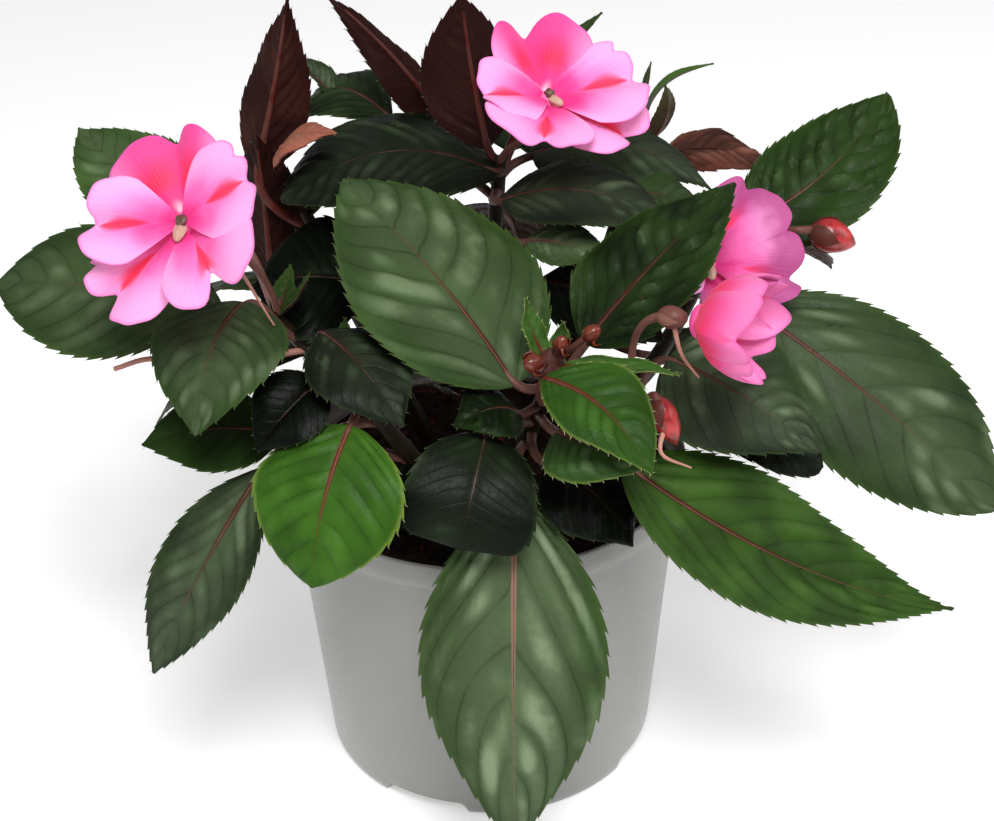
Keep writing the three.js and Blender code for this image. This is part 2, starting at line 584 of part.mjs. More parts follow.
// Each entry: where the eye is and the way it faces, the stem and how far along it the stalk starts, the
// petals with their angles clockwise from the top, and the points that the hanging spur passes
const BLOOMS = [
  { name: 'left', eye: [-80, -42, 210], facing: [-0.3, -0.75, 0.59], stem: 'left', at: 0.97,
    spur: [[-70, -38, 198], [-58, -45, 179]], petals: [
      { ...STANDARD, angle: -34, length: 28.4, spread: 58, tilt: 15, seam: 0.2, notch: 0.18, lift: -1.3 },
      { ...LOWER_RIGHT, angle: 127, length: 32, spread: 54, tilt: 26, bend: -12, lift: -1.1, notch: 0.36,
        seam: 0.16, lobes: [0.96, 0.93] },
      { ...LOWER_LEFT, angle: -147, length: 34, spread: 35, lift: -0.1, notch: 0.14, seam: 0.1,
        lobes: [0.99, 1] },
      { ...UPPER_RIGHT, angle: 55, length: 27.6, spread: 50, tilt: 22, bend: -20, lift: 2, notch: 0.11,
        seam: -0.05, lobes: [0.98, 0.94] },
      { ...UPPER_LEFT, angle: -100, length: 28.5, spread: 43, tilt: 27, bend: -16, lift: 1, notch: 0.08,
        seam: -0.1, lobes: [1.03, 0.94] },
    ] },
  { name: 'top', eye: [21.5, 20, 218.4], facing: [0.24, -0.3, 0.92], stem: 'top', at: 0.97,
    spur: [[26, 30, 208], [36, 34, 198]], petals: [
      { ...STANDARD, angle: 25, length: 30.6, spread: 57, tilt: 30, bend: -19, lift: -2.4, notch: 0.16,
        seam: -0.12, lobes: [0.97, 1.02] },
      { ...LOWER_RIGHT, angle: 150, length: 31, spread: 49, tilt: 14, bend: -22, notch: 0.17, seam: -0.12,
        lobes: [1.05, 0.94] },
      { ...LOWER_LEFT, angle: -132, length: 31, spread: 53, tilt: 21, bend: -16, notch: 0.28, seam: -0.1,
        lobes: [0.95, 1.05] },
      { ...UPPER_RIGHT, angle: 112, length: 31.5, spread: 53, tilt: 20.5, bend: -12.5, lift: -0.2, notch: 0.04,
        seam: -0.19, lobes: [1.02, 0.97] },
      { ...UPPER_LEFT, angle: -72, length: 25, spread: 54, tilt: 20, bend: -16, lift: 0.9, notch: 0.1,
        lobes: [1, 0.97] },
    ] },
  { name: 'right', eye: [69.5, 2, 171], facing: [0.12, -0.66, 0.74], stem: 'right', at: 0.9,
    spur: [[74, 16, 162], [82, 16, 150]], petals: [
      { ...STANDARD, angle: -35, length: 15, spread: 44, tilt: 30 },
      { ...LOWER_RIGHT, angle: 166, length: 24, spread: 33, bend: -18 },
      { ...LOWER_LEFT, angle: -112, length: 14, tilt: 20 },
      { ...UPPER_RIGHT, angle: 48, length: 31, spread: 38, tilt: 18, bend: -22, lift: 1, notch: 0.08,
        seam: -0.3 },
      { ...UPPER_LEFT, angle: 101, length: 30, spread: 39, tilt: 15, bend: -23, notch: 0.14, seam: 0.14 },
    ] },
  { name: 'cupped', eye: [60.3, -60.5, 186], facing: [0.88, -0.42, 0.05], stem: 'front_right', at: 0.98,
    spur: [[55.5, -60.5, 176], [60.5, -62, 169]], petals: [
      { ...CUPPED, name: 'upper', angle: 12 },
      { ...CUPPED, name: 'far', angle: 80, lift: 0.8 },
      { ...CUPPED, name: 'low', angle: 152, length: 23.5, bend: 78, lift: -0.8 },
      { ...CUPPED, name: 'near_low', angle: -134, length: 23.5, lift: 0.4 },
      { ...CUPPED, name: 'near_high', angle: -60, length: 25.5, spread: 62, lift: -0.8, notch: 0.03,
        seam: -0.25 },
    ] },
];

function petalPoint(bloom, petal, s, v) {
  const spec = { ...PETAL_DEFAULTS, ...petal };
  const fromSeam = v - spec.seam;
  const off = fromSeam > 0 ? fromSeam / (1 - spec.seam) : fromSeam / (1 + spec.seam);
  const facing = vec(bloom.facing).normalize();
  const up = blend(UP, 1, facing, -facing.z).normalize();
  const right = up.clone().cross(facing);
  const fan = rad(spec.angle + spec.spread * v * (FAN_AT_FOOT + (1 - FAN_AT_FOOT) * s));
  const notch = 1 - spec.notch * Math.exp(-((off / NOTCH_WIDTH) ** 2));
  const [before, after] = spec.lobes;
  const lobe = before + (after - before) * THREE.MathUtils.smoothstep(fromSeam, -LOBE_JOIN, LOBE_JOIN);
  const radius = spec.length * lobe * notch * (1 - ROUNDING * Math.abs(v) ** ROUNDING_POWER);
  const tilt = rad(spec.tilt);
  const bend = rad(spec.bend);
  const out = (radius * (Math.sin(tilt + bend * s) - Math.sin(tilt))) / bend + spec.throat;
  const dip = spec.crease * Math.exp(-((off / CREASE_WIDTH) ** 2));
  const swell = spec.puff * (1 - (2 * Math.abs(off) - 1) ** 2);
  const rise = (radius * (Math.cos(tilt) - Math.cos(tilt + bend * s))) / bend + radius * s * (swell - dip);
  return vec(bloom.eye)
    .addScaledVector(up, out * Math.cos(fan))
    .addScaledVector(right, out * Math.sin(fan))
    .addScaledVector(facing, spec.lift + rise);
}

function petalSolid(bloom, petal) {
  const step = 1e-3;
  const blade = new Blade(PETAL);
  const seam = petal.seam ?? PETAL_DEFAULTS.seam;
  const places = PETAL_ACROSS.map((off) => seam + off * (off > 0 ? 1 - seam : 1 + seam));
  const grid = PETAL_ALONG.map((s) => places.map((v) => {
    const spot = petalPoint(bloom, petal, s, v);
    const along = petalPoint(bloom, petal, s + step, v).sub(spot);
    const across = petalPoint(bloom, petal, s, v + step).sub(spot);
    return blade.corner({ spot, facing: across.cross(along).normalize() });
  }));
  const last = PETAL_ALONG.length - 1;
  const end = PETAL_ACROSS.length - 1;
  for (let i = 0; i < last; i += 1) {
    for (let j = 0; j < end; j += 1) {
      blade.face(grid[i][j], grid[i + 1][j], grid[i + 1][j + 1]);
      blade.face(grid[i][j], grid[i + 1][j + 1], grid[i][j + 1]);
    }
    blade.rim(grid[i][0], grid[i + 1][0]);
    blade.rim(grid[i + 1][end], grid[i][end]);
  }
  for (let j = 0; j < end; j += 1) {
    blade.rim(grid[last][j], grid[last][j + 1]);
    blade.rim(grid[0][j + 1], grid[0][j]);
  }
  return blade.solid();
}

// The petals join in a shallow eye; a cupped bloom has a wider one
function petalBody(bloom) {
  const facing = vec(bloom.facing).normalize();
  const reach = EYE_RADIUS + Math.max(...bloom.petals.map((petal) => petal.throat ?? 0));
  const eye = bud(vec(bloom.eye), facing, EYE_DEPTH, 2 * reach);
  return union(bloom.petals.map((petal) => petalSolid(bloom, petal))).add(eye);
}

const pedicelTube = (path) => tube(path, PEDICEL_RADIUS, STALK_SIDES, PEDICEL_STEPS);
const spurTube = (path) => tube(path, SPUR_RADIUS, STALK_SIDES, SPUR_STEPS);

// Behind the eye: a calyx, a thin hanging spur, and the stalk down to the stem
const PEDICEL_PULL = 0.35;

function stalkBody(bloom) {
  const facing = vec(bloom.facing).normalize();
  const back = (depth) => vec(bloom.eye).addScaledVector(facing, -depth);
  const middle = back(CALYX_DEPTH);
  const calyx = bud(middle, facing, CALYX_LENGTH, CALYX_WIDTH);
  const root = stemPaths[bloom.stem].getPointAt(bloom.at);
  const pull = PEDICEL_PULL * root.distanceTo(middle);
  const rising = root.clone().addScaledVector(UP, pull);
  const stalk = new THREE.CubicBezierCurve3(root, rising, back(CALYX_DEPTH + pull), middle);
  const spur = new THREE.CatmullRomCurve3([middle, ...bloom.spur.map(vec)]);
  return calyx.add(pedicelTube(stalk)).add(spurTube(spur));
}

// Buds: each is an egg on a stalk that bends over on its way from the stem
const BUDS = [
  { name: 'right', centre: [109, 10, 176], axis: [0.94, -0.18, -0.29], length: 15, width: 10.5,
    stem: 'right', at: 0.95, way: [[88, 14, 176], [99, 9, 179]] },
  { name: 'front', centre: [52, -62, 155], axis: [0.4, -0.27, -0.95], length: 15, width: 7.5,
    stem: 'front_right', at: 0.86, way: [[46, -54, 157], [49, -60, 162]],
    spur: [[50, -69, 149], [58, -74, 147]] },
];

function budBody({ centre, axis, length, width, stem, at, way, spur }) {
  const middle = vec(centre);
  const stalk = new THREE.CatmullRomCurve3([stemPaths[stem].getPointAt(at), ...way.map(vec), middle]);
  const body = bud(middle, vec(axis), length, width).add(pedicelTube(stalk));
  return spur ? body.add(spurTube(new THREE.CatmullRomCurve3([middle, ...spur.map(vec)]))) : body;
}

// The middle shoot ends in a whorl of round flower buds and slender young leaves about a core
const WHORL_CORE = [20, -46, 165];
const WHORL_CORE_AXIS = [0, -0.2, 1];
const WHORL_CORE_LENGTH = 12;
const WHORL_CORE_WIDTH = 9;
const WHORL_BUD_LENGTH = 1.25;
const WHORL_BUDS = [
  { centre: [14.7, -56, 171.3], width: 5.6 },
  { centre: [22.8, -50, 174.2], width: 4 },
  { centre: [31.7, -46, 175], width: 4.6 },
  { centre: [26, -57, 166], width: 5.5 },
];
const WHORL_LEAVES = [
  { base: [20, -46, 164], tip: [13, -39, 183], width: 8, arch: -2, fold: 20 },
  { base: [20, -46, 164], tip: [24, -39, 175], width: 7, arch: -2, fold: 20 },
  { base: [21, -47, 165], tip: [55, -65, 172], width: 9, arch: 1, fold: 20 },
];

function whorlBody() {
  const core = vec(WHORL_CORE);
  const middle = bud(core, vec(WHORL_CORE_AXIS), WHORL_CORE_LENGTH, WHORL_CORE_WIDTH);
  const buds = WHORL_BUDS.map(({ centre, width }) => {
    const out = vec(centre).sub(core);
    const stalk = tube(new THREE.LineCurve3(core, vec(centre)), PEDICEL_RADIUS, STALK_SIDES, 1);
    return bud(vec(centre), out, WHORL_BUD_LENGTH * width, width).add(stalk);
  });
  return union([middle, ...buds, ...WHORL_LEAVES.map(leafSolid)]);
}

// A dried flower stalk that is left on the left shoot
const DRIED_STALK = [[-80, -34, 160], [-96, -38, 165], [-106, -40, 163]];
const DRIED_STALK_ROOT = 0.85;

function driedStalk() {
  const root = stemPaths.left.getPointAt(DRIED_STALK_ROOT);
  return pedicelTube(new THREE.CatmullRomCurve3([root, ...DRIED_STALK.map(vec)]));
}

// The assembly: what grows from a stem's side is cut clear of the stem by the seat gap

const everyStem = union(Object.keys(STEMS).map((name) => stemTube(name, SEAT_GAP)));
const leafBody = (spec) => (spec.stem ? leafWithPetiole(spec) : leafSolid(spec));

for (const name of Object.keys(STEMS)) {
  const carried = (STEM_LEAVES[name] ?? []).map((spec) => leafBody(spec.at ? { stem: name, ...spec } : spec));
  const young = name in TIP_LEAVES ? tipLeaves(name) : [];
  const dried = name === 'left' ? [driedStalk()] : [];
  const finish = carried.length > 0 ? 'leaf' : 'stem';
  addPiece(`stem_${name}`, union([stemTube(name), ...carried, ...young, ...dried]), finish);
}

for (const spec of LEAVES) {
  const joined = (spec.joined ?? []).map(leafBody);
  addPiece(spec.name, union([leafBody(spec), ...joined]).subtract(everyStem), spec.finish ?? 'leaf');
}

for (const bloom of BLOOMS) {
  addPiece(`bloom_${bloom.name}`, petalBody(bloom), 'petal');
  addPiece(`stalk_${bloom.name}`, stalkBody(bloom).subtract(everyStem), 'stalk');
}

for (const spec of BUDS) {
  addPiece(`bud_${spec.name}`, budBody(spec).subtract(everyStem), 'bud');
}
addPiece('whorl_centre', whorlBody().subtract(everyStem), 'bud');
addPiece('pot', buildPot(), 'pot');
addPiece('soil', buildSoil(everyStem), 'soil');

export default part;
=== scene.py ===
"""Potted New Guinea impatiens: puckered serrated leaves, pink blooms with red flames, buds and a pot.

Every piece is worked out in millimetres in the frame's own axes: +Z up, -Y towards the viewer, the origin in
the middle of the pot's underside. The sizes are those of the solids that the pieces stand for.
"""

import logging
import math
from dataclasses import dataclass, field, replace
from enum import Enum

import bpy
import numpy as np
from mathutils import Matrix


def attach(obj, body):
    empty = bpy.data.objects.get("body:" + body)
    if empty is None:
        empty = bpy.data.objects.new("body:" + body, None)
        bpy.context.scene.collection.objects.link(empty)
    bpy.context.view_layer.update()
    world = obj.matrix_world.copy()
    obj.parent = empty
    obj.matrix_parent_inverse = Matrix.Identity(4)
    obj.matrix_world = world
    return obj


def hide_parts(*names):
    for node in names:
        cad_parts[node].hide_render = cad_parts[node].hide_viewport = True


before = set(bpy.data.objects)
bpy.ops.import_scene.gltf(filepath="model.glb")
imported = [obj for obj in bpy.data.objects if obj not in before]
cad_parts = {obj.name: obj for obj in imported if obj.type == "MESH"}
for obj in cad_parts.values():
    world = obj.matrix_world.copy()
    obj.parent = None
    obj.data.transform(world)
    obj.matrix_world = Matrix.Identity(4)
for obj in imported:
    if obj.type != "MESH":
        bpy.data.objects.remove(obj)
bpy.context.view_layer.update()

log = logging.getLogger("impatiens")
Array = np.ndarray
Material = bpy.types.Material
Point = tuple[float, float, float]
Colour = tuple[float, float, float, float]

MM = 0.001

STEM_RADIUS = 3.1
PETIOLE_RADIUS = 1.4
PEDICEL_RADIUS = 1.1
SPUR_RADIUS = 0.8
LEAF_THICKNESS = 0.5
PETAL_THICKNESS = 0.35
EYE_RADIUS = 3.4
EYE_DEPTH = 5.6
CALYX_DEPTH = 8.0
CALYX_LENGTH = 9.0
CALYX_WIDTH = 6.5
STEM_FOOT = 62.0
SOIL_LEVEL = 97.0
SHARP_ANGLE = math.radians(50)
END_BULGE = 0.4
STALK_RINGS = 30
UP = np.array([0.0, 0.0, 1.0])


class Finish(Enum):
    """The finishes, by the name of the material that each makes."""

    LEAF = "leaf"
    YOUNG = "young_leaf"
    BURGUNDY = "burgundy_leaf"
    STEM = "stem"
    STALK = "stalk"
    PETAL = "petal"
    EYE = "eye"
    BUD = "bud"
    POT = "pot"
    SOIL = "soil"


@dataclass(frozen=True)
class Skin:
    """What a piece is made of, and the four numbers of the piece that its finish reads.

    For leaves, stems and stalks they are how bright, how grey, how red and how raised it is. On a leaf and
    its stalk the brightness is partly painted shade, the grey sets its silver, a painted sheen on the
    crests, and the height a painted light on the crests and painted shade in the hollows. For a petal they
    are its flame, depth and painted shade. A bud is lighter by the first and more orange by the second.
    """

    finish: Finish
    bright: float = 0.5
    grey: float = 0.5
    red: float = 0.0
    relief: float = 0.5

    @property
    def tone(self) -> Array:
        """Its four numbers."""
        return np.array([self.bright, self.grey, self.red, self.relief])


# Arrays and curves


def srgb(red: int, green: int, blue: int) -> Colour:
    """Turns a colour as a screen shows it, 0 to 255, into linear light."""
    share = np.array([red, green, blue]) / 255
    linear = np.where(share <= 0.04045, share / 12.92, ((share + 0.055) / 1.055) ** 2.4)
    return (*map(float, linear), 1.0)


def unit(vectors: Array) -> Array:
    """Scales each vector to length one."""
    return vectors / np.maximum(np.linalg.norm(vectors, axis=-1, keepdims=True), 1e-9)


def smooth(value: Array, low: float, high: float) -> Array:
    """Rises smoothly from 0 at low to 1 at high."""
    share = np.clip((value - low) / (high - low), 0, 1)
    return share * share * (3 - 2 * share)


def bell(value: Array, width: float) -> Array:
    """A bell of height one about zero: e to the minus (value / width) squared."""
    return np.exp(-((value / width) ** 2))


class Path:
    """A curve through space that is sampled densely and read by its length."""

    SAMPLES = 60

    def __init__(self, points: Array) -> None:
        """Keeps the points and how far along the curve each lies."""
        self.points = points
        steps = np.linalg.norm(np.diff(points, axis=0), axis=1)
        self.length = float(steps.sum())
        self.shares = np.concatenate([[0], np.cumsum(steps)]) / self.length

    @classmethod
    def through(cls, knots: list[Point], power: float = 0.5) -> "Path":
        """A Catmull-Rom curve: each span is the cubic with the tangents that its neighbours give.

        Args:
            knots: the points that it passes.
            power: 0 spaces the spans evenly, and 0.5 by the root of their lengths.

        Returns:
            The path.
        """
        knot = np.array(knots, float)
        ends = np.vstack([2 * knot[0] - knot[1], knot, 2 * knot[-1] - knot[-2]])
        before, start, end, after = ends[:-3], ends[1:-2], ends[2:-1], ends[3:]
        first, middle, last = (np.linalg.norm(b - a, axis=1, keepdims=True) ** power
                               for a, b in ((before, start), (start, end), (end, after)))
        span = (end - start) / middle
        leaving = ((start - before) / first - (end - before) / (first + middle) + span) * middle
        reaching = (span - (after - start) / (middle + last) + (after - end) / last) * middle
        t = np.linspace(0, 1, cls.SAMPLES, endpoint=False)[None, :, None]
        a, b, m, n = start[:, None], end[:, None], leaving[:, None], reaching[:, None]
        curve = a + m * t + (3 * b - 3 * a - 2 * m - n) * t**2 + (2 * a - 2 * b + m + n) * t**3
        return cls(np.vstack([curve.reshape(-1, 3), knot[-1:]]))

    @classmethod
    def cubic(cls, start: Array, leave: Array, reach: Array, end: Array) -> "Path":
        """The cubic curve from start to end that the points leave and reach pull towards them."""
        t = np.linspace(0, 1, cls.SAMPLES)[:, None]
        left = 1 - t
        return cls(left**3 * start + 3 * t * left**2 * leave + 3 * t**2 * left * reach + t**3 * end)

    def at(self, share: float | Array) -> Array:
        """The point or points at that share of the length."""
        return np.stack([np.interp(share, self.shares, self.points[:, i]) for i in range(3)], axis=-1)


# Surfaces


@dataclass
class Surface:
    """A closed skin in millimetres, with what its finish reads at each point.

    place is, for a leaf, the share from base to tip, the share from midrib to margin, the count of side
    veins passed and the millimetres from the midrib. For a petal it is the share from eye to rim, the share
    across and how far off the seam it is, and for a tube the share along and the share around. back is 1 on
    the lower face of a blade or petal.
    """

    points: Array
    faces: list[Array]
    finish: Finish
    place: Array
    tone: Array
    back: Array

    def __post_init__(self) -> None:
        """Turns the faces outwards, by the sign of the volume that they enclose."""
        volume = 0.0
        for face in self.faces:
            for second in range(1, face.shape[1] - 1):
                a, b, c = (self.points[face[:, i]] for i in (0, second, second + 1))
                volume += float(np.einsum("ij,ij->", a, np.cross(b, c)))
        if volume < 0:
            self.faces = [face[:, ::-1] for face in self.faces]


def full(count: int, values: Array | tuple[float, ...]) -> Array:
    """The same values at each of count points."""
    return np.tile(np.array(values, float), (count, 1))


def two_skins(middle: Array, facing: Array, half: Array, finish: Finish, place: Array,
              tone: Array) -> Surface:
    """Gives a sheet its thickness: a skin on each side of the grid of middle points, joined by a rim.

    Args:
        middle: grid of points, rows by columns by 3.
        facing: the unit vector of the upper face at each.
        half: half the thickness at each, rows by columns.
        finish: what it is made of.
        place: grid of the four numbers that the finish reads.
        tone: the four numbers of the piece, for each grid point or for all.

    Returns:
        The closed surface.
    """
    rows, columns = middle.shape[:2]
    index = np.arange(rows * columns).reshape(rows, columns)
    under = index + rows * columns
    corners = [index[:-1, :-1], index[1:, :-1], index[1:, 1:], index[:-1, 1:]]
    skin = np.stack([c.ravel() for c in corners], axis=1)
    border = np.concatenate([index[:-1, 0], index[-1, :-1], index[:0:-1, -1], index[0, :0:-1]])
    following = np.roll(border, -1)
    shift = under[0, 0]
    rim = np.stack([border, border + shift, following + shift, following], axis=1)
    offset = facing * half[..., None]
    points = np.concatenate([(middle + offset).reshape(-1, 3), (middle - offset).reshape(-1, 3)])
    places = np.tile(place.reshape(-1, 4), (2, 1))
    tones = np.tile(np.broadcast_to(tone, (rows, columns, 4)).reshape(-1, 4), (2, 1))
    back = np.repeat([0.0, 1.0], rows * columns)
    return Surface(points, [skin, skin[:, ::-1] + shift, rim[:, ::-1]], finish, places, tones, back)


def wrapped(rings: Array, start: Array, end: Array, skin: Skin) -> Surface:
    """Closes rings of points into a tube, with a fan to a pole at each end.

    Args:
        rings: rings by sides by 3.
        start: the pole before the first ring.
        end: the pole after the last ring.
        skin: its finish and tone.

    Returns:
        The closed surface. Its place is the share along it and the share around it.
    """
    count, sides = rings.shape[:2]
    index = np.arange(count * sides).reshape(count, sides)
    turned = np.roll(index, -1, axis=1)
    walls = np.stack([c.ravel() for c in (index[:-1], turned[:-1], turned[1:], index[1:])], axis=1)
    first, last = count * sides, count * sides + 1
    caps = [np.stack([turned[0], index[0], np.full(sides, first)], axis=1),
            np.stack([index[-1], turned[-1], np.full(sides, last)], axis=1)]
    along = np.repeat(np.linspace(0, 1, count), sides)
    around = np.tile(np.arange(sides) / sides, count)
    place = np.zeros((count * sides + 2, 4))
    place[:-2, 0], place[:-2, 1] = along, around
    place[-1, 0] = 1
    points = np.vstack([rings.reshape(-1, 3), start, end])
    tone = full(len(points), skin.tone)
    return Surface(points, [walls, np.vstack(caps)], skin.finish, place, tone, np.zeros(len(points)))


def axes_about(axis: Array) -> tuple[Array, Array]:
    """Two unit vectors square to an axis and to each other."""
    aside = np.array([1.0, 0, 0]) if abs(axis[0]) < 0.8 * np.linalg.norm(axis) else np.array([0, 1.0, 0])
    first = unit(np.cross(axis, aside))
    return first, unit(np.cross(axis, first))


def tube(line: Array, radii: Array, skin: Skin, sides: int = 8) -> Surface:
    """Carries a circle along a line of points: each ring stands square to the line there.

    Args:
        line: the points that it follows.
        radii: its radius at each.
        skin: its finish and tone.
        sides: corners of each ring.

    Returns:
        The closed surface, with rounded ends.
    """
    tangent = unit(np.gradient(line, axis=0))
    spread = np.abs(tangent).max(axis=0)
    aside = np.eye(3)[int(np.argmin(spread))]
    first = unit(np.cross(tangent, aside))
    second = np.cross(tangent, first)
    turn = 2 * np.pi * np.arange(sides) / sides
    ring = first[:, None] * np.cos(turn)[None, :, None] + second[:, None] * np.sin(turn)[None, :, None]
    rings = line[:, None] + ring * radii[:, None, None]
    start = line[0] - tangent[0] * radii[0] * END_BULGE
    end = line[-1] + tangent[-1] * radii[-1] * END_BULGE
    return wrapped(rings, start, end, skin)


def tapered(path: Path, radius: float, taper: float, skin: Skin, wide: float = 1.1, sides: int = 8,
            rings: int = STALK_RINGS) -> Surface:
    """A tube that thins evenly: its radius is radius (wide - taper share) at each share of its path.

    Args:
        path: the line that it follows.
        radius: its named radius.
        taper: what it loses on its way, in shares of that radius.
        skin: its finish and tone.
        wide: how wide it starts, in shares of that radius.
        sides: corners of each ring.
        rings: how many rings it has.

    Returns:
        The closed surface.
    """
    share = np.linspace(0, 1, rings)
    return tube(path.at(share), radius * (wide - taper * share), skin, sides)


def flower_stalk(path: Path, swell: float, reach: float, skin: Skin) -> Surface:
    """The stalk of a bloom or bud: a tube that swells by a bell of the width reach towards its end."""
    share = np.linspace(0, 1, STALK_RINGS)
    return tube(path.at(share), PEDICEL_RADIUS * (1 + swell * bell(share - 1, reach)), skin, 10)


@dataclass(frozen=True)
class Egg:
    """A round body about an axis, thickest at its lower third, with a pointed end."""

    centre: Point
    axis: Point
    length: float
    width: float
    blunt: float = 0.75

    FOOT = 0.55
    RINGS = 18
    SIDES = 20
    SEPAL_ROWS = 12
    SEPAL_COLUMNS = 9
    SEPAL_FOOT = 0.03
    SEPAL_OFF = 0.25
    SEPAL_HALF = 0.18

    def point(self, height: Array, bearing: Array, grow: float | Array = 0.0) -> Array:
        """A point of its skin: the radius is width times height^FOOT (1 - height)^blunt, scaled to its most.

        Args:
            height: share of the length from the foot to the tip.
            bearing: angle about the axis.
            grow: how far outside the skin the point lies.

        Returns:
            The points.
        """
        axis = unit(np.array(self.axis, float))
        first, second = axes_about(axis)
        peak = self.FOOT / (self.FOOT + self.blunt)
        most = peak**self.FOOT * (1 - peak) ** self.blunt
        radius = 0.5 * self.width * height**self.FOOT * (1 - height) ** self.blunt / most + grow
        out = first * np.cos(bearing)[..., None] + second * np.sin(bearing)[..., None]
        along = axis * ((height - 0.5) * self.length)[..., None]
        return np.array(self.centre) + along + out * radius[..., None]

    def surface(self, skin: Skin, ribs: int = 0, depth: float = 0.0) -> Surface:
        """The whole body, as a closed surface.

        Args:
            skin: its finish and tone.
            ribs: how many ribs run along it.
            depth: how far they stand out: the radius gains depth times the cosine of ribs times the bearing.

        Returns:
            The closed surface.
        """
        height, bearing = np.meshgrid(
            0.5 - 0.5 * np.cos(np.pi * np.linspace(0.06, 0.97, self.RINGS)),
            2 * np.pi * np.arange(self.SIDES) / self.SIDES, indexing="ij")
        grow = depth * np.cos(ribs * bearing) * np.sin(np.pi * height)
        rings = self.point(height, bearing, grow)
        axis = unit(np.array(self.axis, float)) * self.length / 2
        return wrapped(rings, np.array(self.centre) - axis, np.array(self.centre) + axis, skin)

    def sepal(self, bearing: float, reach: float, spread: float, skin: Skin, flare: float) -> Surface:
        """A scale that lies on the skin from the foot upwards and narrows to a point.

        Args:
            bearing: where it lies about the axis, in degrees.
            reach: share of the length that it covers.
            spread: half its width, in degrees about the axis.
            skin: its finish and tone.
            flare: how far its point stands off the skin.

        Returns:
            The closed surface.
        """
        columns = np.linspace(-1, 1, self.SEPAL_COLUMNS)
        s, v = np.meshgrid(np.linspace(0, 1, self.SEPAL_ROWS), columns, indexing="ij")
        height = self.SEPAL_FOOT + reach * s
        half = math.radians(spread) * np.maximum(1 - s**1.6, 0.03)
        angle = math.radians(bearing) + half * v
        grow = self.SEPAL_OFF + flare * s**2 + 0.25 * bell(v, 0.3) * (1 - s)
        middle = self.point(height, angle, grow)
        facing = unit(middle - self.point(height, angle, grow - 1.0))
        place = np.stack([s, np.abs(v), 0 * s, 0 * s], axis=-1)
        thickness = np.full(s.shape, self.SEPAL_HALF)
        return two_skins(middle, facing, thickness, skin.finish, place, skin.tone)


# Leaves


